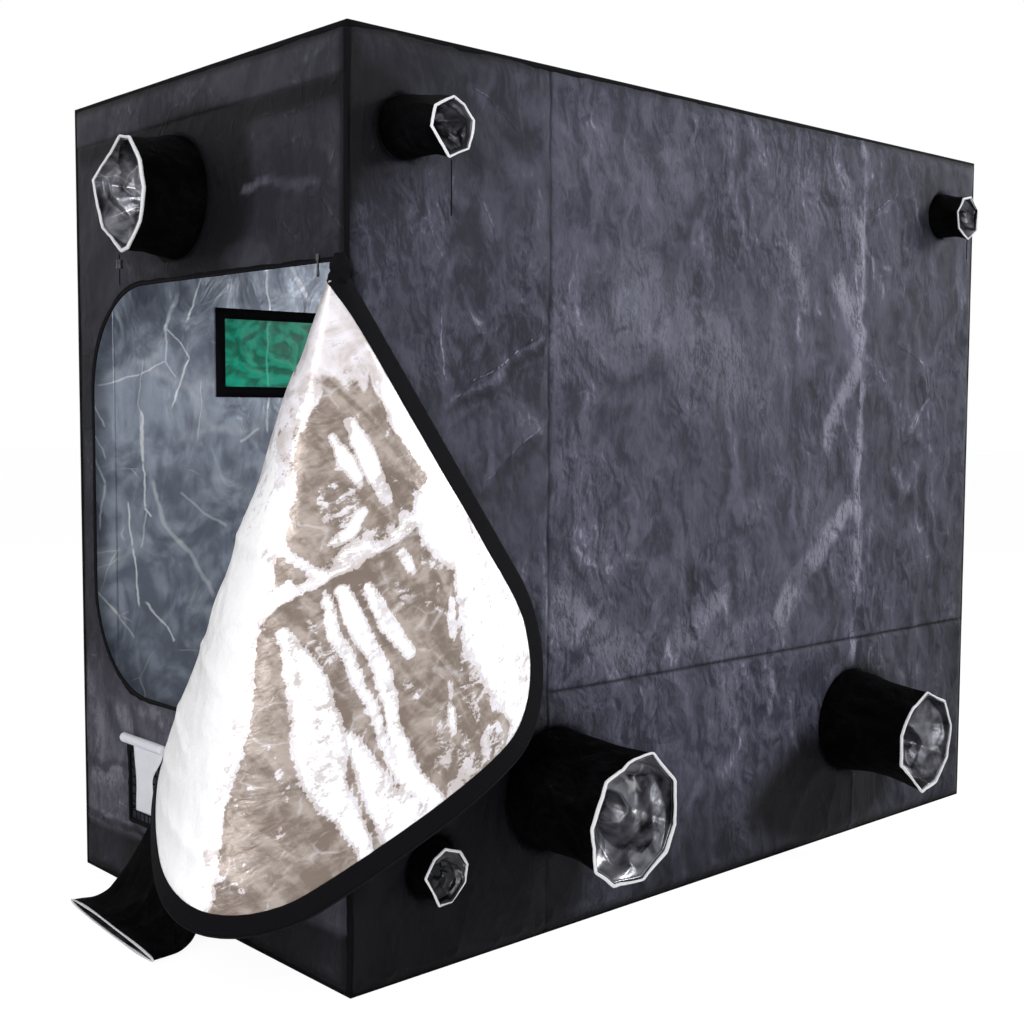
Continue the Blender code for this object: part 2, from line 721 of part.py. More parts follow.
# Drawstring tails hang from the lower edge of a sleeve's mouth
tails = {
    "string_end_high": {"sleeve": "sleeve_end_high", "drop": 0.07},
    "string_back_near": {"sleeve": "sleeve_back_high_near", "drop": 0.11},
    "string_back_far": {"sleeve": "sleeve_back_high_far", "drop": 0.06},
}
string_exits = {}
for name, tail in tails.items():
    spec = sleeves[tail["sleeve"]]
    mouth_share = 1 - string_rim_inset / spec["out"]
    upward = np.array((0, 0, 1.0))
    top = sleeve_ring(spec, mouth_share, np.array([-math.pi / 2]))[0] - upward * seat
    string_exits[name] = top
    steps = math.ceil(tail["drop"] / string_pitch)
    curve = bpy.data.curves.new(name, "CURVE")
    curve.dimensions = "3D"
    curve.bevel_depth = string_diameter / 2
    curve.bevel_resolution = 2
    curve.use_fill_caps = True
    spline = curve.splines.new("POLY")
    spline.points.add(steps)
    for step, point in enumerate(spline.points):
        spot = top - upward * tail["drop"] * step / steps
        point.co = (*spot, 1)
    add_object(name, curve, black_plastic)

# Cord lock: a waisted barrel that slides on the string of the high end sleeve
lock_bore = string_diameter / 2 + lock_play
lock_profile = [
    (lock_bore, lock_length / 2), (lock_radius, lock_length / 2), (lock_waist, 0),
    (lock_radius, -lock_length / 2), (lock_bore, -lock_length / 2)]
mesh = bpy.data.meshes.new("cord_lock")
cells = bmesh.new()
corners = [cells.verts.new((radius, 0, height)) for radius, height in lock_profile]
for first, second in zip(corners, corners[1:] + corners[:1]):
    cells.edges.new((first, second))
cells.to_mesh(mesh)
cells.free()
lock_top = string_exits["string_end_high"]
lock = add_object("cord_lock", mesh, black_plastic,
                  (lock_top[0], lock_top[1], lock_top[2] - lock_drop - lock_length / 2))
turning = lock.modifiers.new("turned", "SCREW")
turning.steps = lock_sides
turning.render_steps = lock_sides
turning.use_merge_vertices = True
turning.merge_threshold = 0.00001
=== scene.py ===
import math

import bmesh
import bpy
import numpy as np
from mathutils import Matrix, Vector


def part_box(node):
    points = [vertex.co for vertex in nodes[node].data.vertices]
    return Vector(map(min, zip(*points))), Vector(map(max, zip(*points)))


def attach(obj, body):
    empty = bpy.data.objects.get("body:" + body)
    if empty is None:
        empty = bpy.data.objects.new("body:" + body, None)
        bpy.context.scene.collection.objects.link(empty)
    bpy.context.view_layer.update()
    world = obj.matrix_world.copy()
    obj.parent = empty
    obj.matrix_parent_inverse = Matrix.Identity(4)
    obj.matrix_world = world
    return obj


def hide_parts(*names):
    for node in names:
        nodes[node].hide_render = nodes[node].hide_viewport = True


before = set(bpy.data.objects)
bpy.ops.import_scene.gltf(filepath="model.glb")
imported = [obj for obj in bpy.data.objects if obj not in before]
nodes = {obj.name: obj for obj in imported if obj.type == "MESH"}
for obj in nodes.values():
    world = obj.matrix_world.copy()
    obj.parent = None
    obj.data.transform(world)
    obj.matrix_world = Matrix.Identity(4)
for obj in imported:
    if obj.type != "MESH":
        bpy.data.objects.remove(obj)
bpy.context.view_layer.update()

print("frame loaded,", len(nodes), "nodes")

# Camera where the photograph was taken: metres and degrees, yaw from +Y towards +X
viewpoint = {"place": (-2.9087, -2.9553, 1.2274), "yaw": 42.517, "pitch": -4.103, "roll": 0.272,
             "lens": 50.06, "sensor": 36.0}


def makeCamera():
    yaw, pitch, roll = (math.radians(viewpoint[key]) for key in ("yaw", "pitch", "roll"))
    forward = Vector((math.sin(yaw) * math.cos(pitch), math.cos(yaw) * math.cos(pitch), math.sin(pitch)))
    level = Vector((math.cos(yaw), -math.sin(yaw), 0))
    above = level.cross(forward)
    right = math.cos(roll) * level + math.sin(roll) * above
    up = math.cos(roll) * above - math.sin(roll) * level
    lens = bpy.data.cameras.new("viewpoint")
    lens.lens = viewpoint["lens"]
    lens.sensor_width = viewpoint["sensor"]
    lens.clip_end = 200
    camera = bpy.data.objects.new("viewpoint", lens)
    turn = Matrix((right, up, -forward)).transposed().to_4x4()
    camera.matrix_world = Matrix.Translation(viewpoint["place"]) @ turn
    bpy.context.scene.collection.objects.link(camera)
    bpy.context.scene.camera = camera


makeCamera()


class Wire:
    # One output of a node; arithmetic on it adds the Math nodes that the expression needs
    def __init__(self, graph, socket):
        self.graph = graph
        self.socket = socket

    def sum(self, operation, *values):
        return self.graph.node("ShaderNodeMath", {"operation": operation}, dict(enumerate(values)))

    def __add__(self, other):
        return self.sum("ADD", self, other)

    def __radd__(self, other):
        return self.sum("ADD", other, self)

    def __sub__(self, other):
        return self.sum("SUBTRACT", self, other)

    def __rsub__(self, other):
        return self.sum("SUBTRACT", other, self)

    def __mul__(self, other):
        return self.sum("MULTIPLY", self, other)

    def __rmul__(self, other):
        return self.sum("MULTIPLY", other, self)

    def __abs__(self):
        return self.sum("ABSOLUTE", self)

    def sine(self):
        return self.sum("SINE", self)


class Graph:
    # A node tree being filled; node() adds any node, its settings first and then its sockets
    def __init__(self, tree):
        self.tree = tree
        tree.nodes.clear()

    def node(self, kind, settings=None, sockets=None, output=0):
        made = self.tree.nodes.new(kind)
        for key, value in (settings or {}).items():
            setattr(made, key, value)
        for key, value in (sockets or {}).items():
            socket = made.inputs[key]
            if isinstance(value, Wire):
                self.tree.links.new(value.socket, socket)
            elif socket.type == "RGBA":
                socket.default_value = (*value[:3], 1)
            else:
                socket.default_value = value
        return Wire(self, made.outputs[output]) if len(made.outputs) else None


class Finish(Graph):
    # A material being made, with the patterns that the finishes share
    def __init__(self, name, flatColour):
        self.material = bpy.data.materials.new(name)
        self.material.use_nodes = True
        self.material.diffuse_color = (*flatColour, 1)
        super().__init__(self.material.node_tree)

    def place(self):
        return self.node("ShaderNodeTexCoord", output="Object")

    def flatPlace(self):
        return self.node("ShaderNodeUVMap", {"uv_map": "flat"})

    def stretched(self, vector, scale, turn=(0, 0, 0), shift=(0, 0, 0)):
        return self.node("ShaderNodeMapping", None, {
            "Vector": vector, "Scale": scale, "Rotation": turn, "Location": shift})

    def noise(self, vector, scale, detail=3.0, rough=0.55, warp=0.0):
        return self.node("ShaderNodeTexNoise", None, {
            "Vector": vector, "Scale": scale, "Detail": detail, "Roughness": rough, "Distortion": warp})

    def cells(self, feature, vector, scale, turn, output=0):
        return self.node("ShaderNodeTexVoronoi", {"feature": feature},
                         {"Vector": self.stretched(vector, scale, turn), "Scale": 1.0}, output)

    def facets(self, vector, scale, turn):
        # one random level for each of the scattered cells, as flat facets of crumpled foil
        return self.axes(self.cells("F1", vector, scale, turn, 1))[0]

    def cracks(self, vector, scale, turn):
        # distance to the nearest border between scattered cells, 0 on the border itself
        return self.cells("DISTANCE_TO_EDGE", vector, scale, turn)

    def embossed(self, vector, scale, turn, detail, rough, warp):
        # a noise, and how much it falls towards the light, from the same noise a little further along
        shift = (0.22, 0.1, 0.16)
        here = self.noise(self.stretched(vector, scale, turn), 1.0, detail, rough, warp)
        there = self.noise(self.stretched(vector, scale, turn, shift), 1.0, detail, rough, warp)
        return here, here - there

    def swayed(self, vector, scale, much):
        # each place moved aside by a coloured noise, so that straight things wander
        drift = self.node("ShaderNodeTexNoise", None, {"Vector": vector, "Scale": scale, "Detail": 3.0}, output=1)
        back = self.stretched(vector, (1, 1, 1), (0, 0, 0), (-much / 2,) * 3)
        return self.node("ShaderNodeVectorMath", {"operation": "MULTIPLY_ADD"}, {0: drift, 1: (much,) * 3, 2: back})

    def attribute(self, name):
        return self.node("ShaderNodeAttribute", {"attribute_name": name}, output="Fac")

    def creases(self, vector, forms):
        # lines on an upright wall: a strength, a half width and the corners it runs through; each
        # stretch is measured in a frame of its own, where it reaches from -1 to 1
        total = 0.0
        for strength, half, *corners in forms:
            for (x0, z0), (x1, z1) in zip(corners, corners[1:]):
                reach = math.hypot(x1 - x0, z1 - z0) / 2 + half
                own = self.node("ShaderNodeMapping", {"vector_type": "TEXTURE"}, {
                    "Vector": vector, "Location": ((x0 + x1) / 2, 0, (z0 + z1) / 2),
                    "Rotation": (0, -math.atan2(z1 - z0, x1 - x0), 0), "Scale": (reach, 1, half)})
                along, _, across = self.axes(own)
                line = self.band(abs(along), 0.75, 1.0, strength, 0.0) * self.band(abs(across), 0.25, 1.0, 1.0, 0.0)
                total = line + total
        return total

    def clamp(self, value):
        return self.node("ShaderNodeClamp", None, {0: value})

    def band(self, value, low, high, least=0.0, most=1.0):
        return self.node("ShaderNodeMapRange", {"interpolation_type": "SMOOTHSTEP"}, {
            "Value": value, "From Min": low, "From Max": high, "To Min": least, "To Max": most})

    def nearby(self, value, reach, most=1.0):
        # the most where the value is 0, down to nothing at the reach
        return self.band(value, 0.0, reach, most, 0.0)

    def mix(self, mask, first, second):
        return self.node("ShaderNodeMix", {"data_type": "RGBA"}, {0: mask, 6: first, 7: second}, output=2)

    def bump(self, height, distance, under=None):
        sockets = {"Height": height, "Distance": distance}
        if under is not None:
            sockets["Normal"] = under
        return self.node("ShaderNodeBump", None, sockets)

    def axes(self, vector):
        return [self.node("ShaderNodeSeparateXYZ", None, {0: vector}, output=axis) for axis in range(3)]

    def weave(self, vector, pitch):
        # sines along all three axes, so that a flat side shows two sets of ribs crossing
        waves = [(part * (2 * math.pi / pitch)).sine() for part in self.axes(vector)]
        return waves[0] + waves[1] + waves[2]

    def done(self, **sockets):
        shader = self.node("ShaderNodeBsdfPrincipled", None,
                           {key.replace("_", " "): value for key, value in sockets.items()})
        self.node("ShaderNodeOutputMaterial", None, {"Surface": shader})
        return self.material


# Finishes: a colour is what the surface shows under white light, except where light and shade are painted in, as said
# at each place

clothSurface = {"yarn": 0.0011, "weave": 0.0001, "fine": 0.0008, "crinkle": 0.004, "fold": 0.006, "crest": 0.002}


def clothFinish(name, dark, pale, crest, roughness, specular, wrinkles=(30, 30, 16), lines=()):
    # coated black cloth: crumples large and small, calm between, each painted paler on the side that faces
    # the light, with painted highlights on pale creases; the shade attribute paints shade above 0 and light below
    finish = Finish(name, pale)
    at = finish.place()
    bent = finish.swayed(at, 5.0, 0.12)
    fold, foldSide = finish.embossed(bent, tuple(part * 0.27 for part in wrinkles), (0, 0.35, 0), 2.0, 0.5, 1.0)
    long, longSide = finish.embossed(bent, wrinkles, (0, 0.12, 0), 3.0, 0.55, 0.6)
    flat = finish.facets(bent, tuple(part * 0.42 for part in wrinkles), (0, 0.3, 0))
    small, smallSide = finish.embossed(at, (95, 95, 60), (0, -0.3, 0), 2.0, 0.5, 0.6)
    broad = finish.noise(at, 2.6, 3.0)
    busy = finish.band(broad + (fold - 0.5) * 0.5, 0.4, 0.62, 0.45, 1.0)
    facing = foldSide * 1.7 + (longSide * 2.3 + smallSide * 1.2 + (flat - 0.5) * 0.5) * busy
    edge = finish.nearby(finish.cracks(at, (9, 9, 6), (0, 0.5, 0)), 0.035)
    edge = edge * finish.band(long + (broad - 0.5), 0.5, 0.62)
    if lines:
        outside = finish.band(finish.axes(at)[1], -0.58, -0.56, 1.0, 0.0)
        torn = finish.band(small + (long - 0.5), 0.35, 0.6, 0.35, 1.0)
        edge = edge * 0.4 + finish.creases(finish.swayed(at, 12.0, 0.035), lines) * outside * torn * 2.2
    # painted shading: each crumple is paler on the side that faces the light
    tone = finish.mix(finish.band(facing, -0.5, 0.5), dark, pale)
    # painted highlights in the crest colour on lit crumples and along the creases
    tone = finish.mix(finish.band(edge * 0.35 + facing * 0.8, 0.3, 1.0), tone, crest)
    shade = finish.attribute("shade")
    # painted light in the crest colour where the shade attribute is below 0
    tone = finish.mix(finish.clamp(shade * finish.band(long + smallSide, 0.3, 0.62, -0.4, -1.6)), tone, crest)
    # painted shade where the shade attribute is above 0
    tone = finish.mix(finish.clamp(shade), tone, tuple(0.06 * part for part in dark))
    normal = finish.bump(finish.weave(at, clothSurface["yarn"]), clothSurface["weave"])
    normal = finish.bump(small * busy, clothSurface["fine"], normal)
    normal = finish.bump(edge, clothSurface["crest"], normal)
    normal = finish.bump(long * busy, clothSurface["crinkle"], normal)
    normal = finish.bump(fold, clothSurface["fold"], normal)
    return finish.done(
        Base_Color=tone, Normal=normal, Specular_IOR_Level=specular,
        Roughness=finish.band(broad + small * 0.3, 0.3, 0.9, roughness - 0.07, roughness + 0.08))


def liningFinish(name, colour, shade, crest, roughness, metallic, lines=()):
    # metallised lining: flat crumples painted lighter or darker by how they face the light, and thin painted
    # highlights along creases, with a painted sheen beside some of them
    finish = Finish(name, colour)
    at = finish.place()
    swayed = finish.swayed(at, 5.0, 0.09)
    where = finish.noise(at, 4.2, 2.0)
    other = finish.noise(finish.stretched(at, (5, 5, 3), (0, 0, 0), (3, 1, 7)), 1.0, 2.0)
    upright = finish.cracks(swayed, (5.5, 5.5, 2.0), (0, 0.2, 0))
    slanted = finish.cracks(swayed, (3.2, 3.2, 5.6), (0, -0.45, 0))
    crease = finish.nearby(upright, 0.014, 0.5) * finish.band(where, 0.53, 0.6)
    crease = crease + finish.nearby(slanted, 0.012, 0.45) * finish.band(other, 0.55, 0.62)
    # painted sheen beside the slanted creases
    creaseSheen = finish.nearby(slanted, 0.1, 0.25) * finish.band(where, 0.45, 0.58)
    if lines:
        inside = finish.band(finish.axes(at)[1], 0.5, 0.54)
        crease = crease + finish.creases(finish.swayed(at, 14.0, 0.028), lines) * inside
    facet, facetSide = finish.embossed(at, (9, 9, 6), (0, 0.4, 0), 3.0, 0.55, 1.2)
    mottle = finish.noise(at, 24.0, 4.0, 0.6, 0.6)
    # painted shading: facets turned to the light take the lit colour, the others the shade colour, mottled at random
    level = facetSide * 2.0 + (mottle - 0.5) * 0.7 + (where - 0.5) * 1.5
    tone = finish.mix(finish.band(level, -0.5, 0.5), shade, colour)
    normal = finish.bump(finish.noise(at, 60.0, 3.0), 0.0006)
    normal = finish.bump(facet, 0.006, normal)
    return finish.done(
        Base_Color=finish.mix(finish.clamp(crease + creaseSheen), tone, crest),
        Normal=normal, Metallic=metallic, Roughness=finish.band(mottle, 0.3, 0.7, roughness - 0.06, roughness + 0.1))


def doorLiningFinish():
    # the open door's silver side, with painted reflections: the attribute says how it faces the light, and fine
    # crumples tear the borders between its brown, pale and white parts, which are calmer inside; the brown is a
    # painted dark reflection, the pale a half-lit tone and the white a painted highlight
    finish = Finish("door_lining", (0.85, 0.84, 0.85))
    at = finish.flatPlace()
    facing = finish.attribute("facing")
    torn, tornSide = finish.embossed(at, (48, 30, 1), (0, 0, 0.5), 5.0, 0.65, 0.8)
    patches, patchSide = finish.embossed(at, (14, 8, 1), (0, 0, 0.55), 3.0, 0.55, 1.3)
    streak, streakSide = finish.embossed(at, (5, 15, 1), (0, 0, 0.5), 4.0, 0.55, 0.8)
    grain = finish.noise(at, 230.0, 2.0, 0.6)
    fine = finish.facets(finish.swayed(at, 14.0, 0.06), (75, 46, 1), (0, 0, 0.3))
    rough = (torn - 0.5) * 0.65 + (patches - 0.5) * 0.45 + tornSide * 0.7 + (fine - 0.5) * 0.24 + (grain - 0.5) * 0.5
    top = finish.node("ShaderNodeVectorMath", {"operation": "LENGTH"}, {0: at}, output=1)
    rough = rough * finish.band(top, 0.2, 0.55, 0.25, 1.0)
    level = facing + rough * finish.band(facing, 0.0, 0.35, 0.4, 1.0) - 0.03
    crumple = streak * 0.7 + streakSide * 1.4 + tornSide * 0.8 + patchSide + (fine - 0.5) * 0.1
    # painted dark reflection: warm brown where the silver faces away from the light, with pale painted highlights on
    # creases
    warm = finish.mix(finish.band(crumple, 0.02, 0.72), (0.2, 0.155, 0.128), (0.425, 0.36, 0.322))
    pale = finish.mix(finish.band(streak + patchSide, 0.3, 0.7), (0.60, 0.54, 0.54), (0.82, 0.79, 0.84))
    crease = finish.cracks(finish.swayed(at, 7.0, 0.12), (13, 9, 1), (0, 0, 0.6))
    warm = finish.mix(finish.nearby(crease, 0.04, 0.32) * finish.band(patches, 0.46, 0.6), warm, pale)
    tone = finish.mix(finish.band(level, 0.18, 0.36), warm, pale)
    # painted dark lines along the borders of the painted highlights
    rim = finish.nearby(abs(level - 0.56), 0.04, 0.5) * finish.band(patches, 0.42, 0.56)
    tone = finish.mix(rim, tone, (0.33, 0.30, 0.29))
    # painted highlight: white where the silver faces the light most
    tone = finish.mix(finish.band(level, 0.62, 0.84), tone, (0.97, 0.97, 0.985))
    normal = finish.bump(finish.noise(at, 75.0, 4.0, 0.6, 0.5), 0.0007)
    normal = finish.bump(torn + fine * 0.3, 0.0016, normal)
    normal = finish.bump(patches, 0.004, normal)
    return finish.done(Base_Color=tone, Normal=normal, Metallic=0.2,
                       Roughness=finish.band(torn, 0.3, 0.7, 0.3, 0.42))


def webbingFinish(name, colour, pitch, depth, roughness=0.6):
    # woven tape: ribs across each other, and a little wear
    finish = Finish(name, colour)
    at = finish.place()
    worn = finish.band(finish.noise(at, 30.0, 4.0), 0.45, 0.75)
    lighter = tuple(0.95 * part + 0.0015 for part in colour)
    normal = finish.bump(finish.weave(at, pitch), depth)
    normal = finish.bump(finish.noise(at, 45.0, 2.0), 0.0009, normal)
    return finish.done(Base_Color=finish.mix(worn, colour, lighter), Normal=normal, Specular_IOR_Level=0.03,
                       Roughness=finish.band(worn, 0, 1, roughness, roughness + 0.15))


def coilFinish():
    # zip coil: close turns all along the edge
    finish = Finish("zip_coil", (0.02, 0.02, 0.022))
    at = finish.place()
    turns = finish.weave(at, 0.0024)
    return finish.done(
        Base_Color=finish.mix(finish.band(turns, -1, 1.5), (0.003, 0.003, 0.004), (0.012, 0.012, 0.014)),
        Roughness=0.6, Specular_IOR_Level=0.06, Normal=finish.bump(turns, 0.0003))


def powderCoatFinish():
    # white powder coat on tube: orange peel and a few scuffs
    finish = Finish("pole_paint", (0.78, 0.79, 0.8))
    at = finish.place()
    scuffed = finish.band(finish.noise(finish.stretched(at, (60, 60, 18)), 1.0, 5.0, 0.7), 0.62, 0.72)
    return finish.done(
        Base_Color=finish.mix(scuffed, (0.78, 0.79, 0.8), (0.5, 0.5, 0.5)),
        Roughness=finish.band(scuffed, 0, 1, 0.32, 0.55), Normal=finish.bump(finish.noise(at, 420.0), 0.0002))


def plasticFinish():
    finish = Finish("moulded_plastic", (0.02, 0.02, 0.022))
    at = finish.place()
    worn = finish.band(finish.noise(at, 55.0, 4.0), 0.5, 0.75)
    return finish.done(
        Base_Color=finish.mix(worn, (0.014, 0.014, 0.016), (0.04, 0.04, 0.043)),
        Roughness=finish.band(worn, 0, 1, 0.35, 0.5), Normal=finish.bump(finish.noise(at, 900.0, 2.0), 0.0001))


def sliderFinish():
    finish = Finish("zip_metal", (0.09, 0.09, 0.1))
    at = finish.place()
    scratched = finish.noise(finish.stretched(at, (900, 900, 120)), 1.0, 3.0)
    return finish.done(
        Base_Color=finish.mix(finish.band(scratched, 0.4, 0.7), (0.05, 0.05, 0.055), (0.16, 0.16, 0.17)),
        Metallic=1.0, Roughness=finish.band(scratched, 0.3, 0.7, 0.22, 0.4))


# the film's one crease, painted as a pale highlight line: a strength, a half width and its corners
filmLines = [(1.0, 0.006, (-0.612, 1.48), (-0.622, 1.38), (-0.615, 1.29))]


def filmFinish():
    # green viewing film: ripples painted lighter on the side that faces the light, and one upright crease painted
    # pale as a highlight; light comes through it
    finish = Finish("green_film", (0.02, 0.42, 0.25))
    at = finish.place()
    ripple, side = finish.embossed(at, (11, 11, 13), (0, 0.6, 0), 2.0, 0.5, 1.2)
    crease = finish.creases(finish.swayed(at, 20.0, 0.03), filmLines)
    tone = finish.mix(finish.band(ripple * 0.6 + side * 2 + 0.2, 0.2, 0.85), (0.001, 0.22, 0.13), (0.004, 0.55, 0.35))
    return finish.done(
        Base_Color=finish.mix(finish.clamp(crease * 0.8), tone, (0.10, 0.78, 0.52)), Roughness=0.35,
        Specular_IOR_Level=0.08, Normal=finish.bump(ripple, 0.003), Transmission_Weight=0.35)


def traySheetFinish():
    finish = Finish("tray_sheet", (0.035, 0.035, 0.04))
    at = finish.place()
    crumple = finish.noise(at, 16.0, 4.0, 0.6, 0.8)
    return finish.done(
        Base_Color=finish.mix(finish.band(crumple, 0.4, 0.7), (0.02, 0.02, 0.024), (0.06, 0.06, 0.066)),
        Roughness=finish.band(crumple, 0.3, 0.7, 0.35, 0.55), Normal=finish.bump(crumple, 0.002))


# Sharp creases on the long wall and on the lining opposite the open door, as across and up in metres;
# they are painted as pale highlight lines, and on the long wall they also bump the surface
wallLines = [
    (1.0, 0.005, (-0.93, 1.247), (-0.67, 1.397)), (0.7, 0.004, (-0.85, 1.062), (-0.66, 1.192)),
    (0.8, 0.007, (0.56, 1.62), (0.585, 1.5)), (0.9, 0.008, (0.6, 1.46), (0.572, 1.37)),
    (0.8, 0.006, (0.59, 1.32), (0.583, 1.1)), (0.8, 0.008, (0.6, 1.02), (0.592, 0.8)),
    (0.7, 0.007, (0.578, 0.76), (0.59, 0.62)), (0.7, 0.006, (0.575, 1.8), (0.585, 1.66)),
    (0.8, 0.004, (0.63, 1.78), (0.76, 1.87)), (0.6, 0.004, (0.61, 1.41), (0.75, 1.29)),
    (0.6, 0.004, (0.78, 1.43), (1.0, 1.34)), (0.8, 0.006, (0.94, 1.27), (0.87, 1.18)),
    (0.5, 0.005, (0.64, 1.7), (0.66, 1.55)), (0.6, 0.005, (0.91, 1.03), (0.92, 0.9)),
    (0.6, 0.004, (-0.97, 1.45), (-0.95, 1.28)), (0.6, 0.004, (-0.88, 1.92), (-0.74, 1.84)),
    (0.5, 0.004, (-0.86, 1.72), (-0.8, 1.58)), (0.5, 0.004, (-1.02, 1.66), (-0.94, 1.52)),
    (0.5, 0.004, (0.3, 1.64), (0.35, 1.48)), (0.4, 0.004, (0.5, 1.9), (0.56, 1.8)),
]
liningLines = [
    (1.0, 0.0045, (-0.83, 1.585), (-0.885, 1.465)), (0.7, 0.004, (-0.94, 1.44), (-0.9, 1.412), (-0.874, 1.375)),
    (1.0, 0.0045, (-0.874, 1.375), (-0.928, 1.225)), (0.7, 0.0035, (-1.15, 1.285), (-1.02, 1.322), (-0.946, 1.36)),
    (0.5, 0.008, (-0.905, 1.55), (-0.95, 1.43)), (0.5, 0.004, (-0.946, 1.43), (-0.944, 1.36), (-0.915, 1.31)),
    (1.0, 0.0065, (-1.024, 1.22), (-1.018, 1.08)), (0.9, 0.0045, (-1.018, 1.08), (-1.012, 0.95), (-0.995, 0.93)),
    (1.0, 0.0045, (-1.062, 0.97), (-1.05, 0.85), (-1.035, 0.68)), (0.5, 0.004, (-1.008, 0.95), (-1.026, 0.84)),
    (0.45, 0.009, (-0.99, 1.03), (-0.95, 0.9), (-0.87, 0.81), (-0.8, 0.69)),
    (0.4, 0.006, (-0.9, 0.99), (-0.83, 0.93), (-0.76, 0.89)), (0.9, 0.0045, (-1.16, 0.74), (-1.09, 0.655)),
    (0.5, 0.004, (-1.09, 0.655), (-1.05, 0.6)), (0.9, 0.0045, (-1.02, 0.695), (-0.952, 0.62), (-0.932, 0.575)),
    (0.8, 0.005, (-0.615, 1.63), (-0.61, 1.5)), (0.6, 0.006, (-0.615, 1.27), (-0.62, 1.16)),
    (0.5, 0.006, (-0.71, 1.13), (-0.65, 1.17)), (0.4, 0.012, (-0.54, 1.65), (-0.47, 1.55)),
    (0.7, 0.004, (-1.165, 1.24), (-1.13, 1.17)), (0.6, 0.004, (-1.165, 1.16), (-1.125, 1.09)),
    (0.7, 0.005, (-1.16, 1.1), (-1.13, 1.03), (-1.15, 0.9)),
]
# The long wall and the end wall are the same coated cloth: their colours are set apart to paint the different light
# that falls on them
longWallCloth = clothFinish("long_wall_cloth", (0.028, 0.029, 0.045), (0.096, 0.097, 0.139),
                            (0.30, 0.30, 0.38), 0.42, 0.10, lines=wallLines)
endWallCloth = clothFinish("end_wall_cloth", (0.058, 0.056, 0.076), (0.105, 0.103, 0.134),
                           (0.26, 0.25, 0.30), 0.5, 0.08, (24, 24, 16))
sleeveCloth = clothFinish("sleeve_cloth", (0.0008, 0.0008, 0.001), (0.003, 0.003, 0.0035),
                          (0.008, 0.008, 0.01), 0.6, 0.01, (30, 30, 30))
silverLining = liningFinish("silver_lining", (0.42, 0.475, 0.57), (0.2, 0.228, 0.288), (0.9, 0.93, 0.97), 0.36, 0.3,
                            liningLines)
sleeveLining = liningFinish("sleeve_lining", (0.21, 0.21, 0.24), (0.012, 0.012, 0.015), (0.7, 0.7, 0.72),
                            0.32, 0.75)
# a darker copy of the sleeve lining: painted shade deep inside the small cable sleeve
cableLining = liningFinish("cable_sleeve_lining", (0.05, 0.05, 0.055), (0.004, 0.004, 0.005), (0.5, 0.5, 0.52),
                           0.3, 0.75)
doorLining = doorLiningFinish()
blackTape = webbingFinish("black_tape", (0.0045, 0.0045, 0.0055), 0.0016, 0.0001)
blackBinding = webbingFinish("edge_binding", (0.004, 0.004, 0.005), 0.0022, 0.00015)
whitePiping = webbingFinish("white_piping", (0.86, 0.86, 0.89), 0.0018, 0.00018, 0.5)
rolledCover = webbingFinish("vent_cover_cloth", (0.90, 0.90, 0.97), 0.0012, 0.0001, 0.5)
cordWeave = webbingFinish("cord_weave", (0.01, 0.01, 0.012), 0.001, 0.0002)
netFinish = webbingFinish("vent_net_mesh", (0.015, 0.015, 0.017), 0.0016, 0.0003)
zipCoil = coilFinish()
polePaint = powderCoatFinish()
mouldedPlastic = plasticFinish()
zipMetal = sliderFinish()
greenFilm = filmFinish()
traySheet = traySheetFinish()
print("finishes made")


# Random surfaces, all from seeded tables

def smoothStep(x, low=0.0, high=1.0):
    t = np.clip((x - low) / (high - low), 0, 1)
    return t * t * (3 - 2 * t)


def lattice(x, y, seed, faceted=False, around=64):
    # heights from -1 to 1 at whole numbers, joined by smooth curves, or by flat triangles as in
    # crumpled foil; x repeats after the number around
    rise = 64
    heights = np.random.default_rng(seed).uniform(-1, 1, (around, rise))
    column = np.floor(x).astype(int)
    row = np.floor(y).astype(int)
    right = x - column
    up = y - row
    here = heights[column % around, row % rise]
    beside = heights[(column + 1) % around, row % rise]
    across = heights[(column + 1) % around, (row + 1) % rise]
    above = heights[column % around, (row + 1) % rise]
    if faceted:
        low = here + (beside - here) * right + (across - beside) * up
        high = here + (above - here) * up + (across - above) * right
        return np.where(right > up, low, high)
    right = smoothStep(right)
    up = smoothStep(up)
    return (here * (1 - right) + beside * right) * (1 - up) + (above * (1 - right) + across * right) * up


def layered(x, y, seed, layers=4, faceted=False, around=64):
    # lattices added up, each twice as fine and half as high as the one before
    total = 0
    for layer in range(layers):
        scale = 2 ** layer
        total = total + lattice(x * scale, y * scale, seed + 7 * layer, faceted, around * scale) / scale
    return total / (2 - 2 ** (1 - layers))


def ridges(u, v, angleDeg, wide, long, seed, sharp=3.0):
    # creases that run at an angle from upright: 1 on the crest, falling off either side
    angle = math.radians(angleDeg)
    across = u * math.cos(angle) + v * math.sin(angle)
    along = -u * math.sin(angle) + v * math.cos(angle)
    bend = 0.5 * lattice(along / long * 1.3, across / long, seed + 3)
    return (1 - np.abs(lattice(across / wide + bend, along / long, seed))) ** sharp


# Surfaces from grids of points

def settle(body, slot, *pieces):
    # the pieces move with the body; slot is not used
    for piece in pieces:
        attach(piece, body)


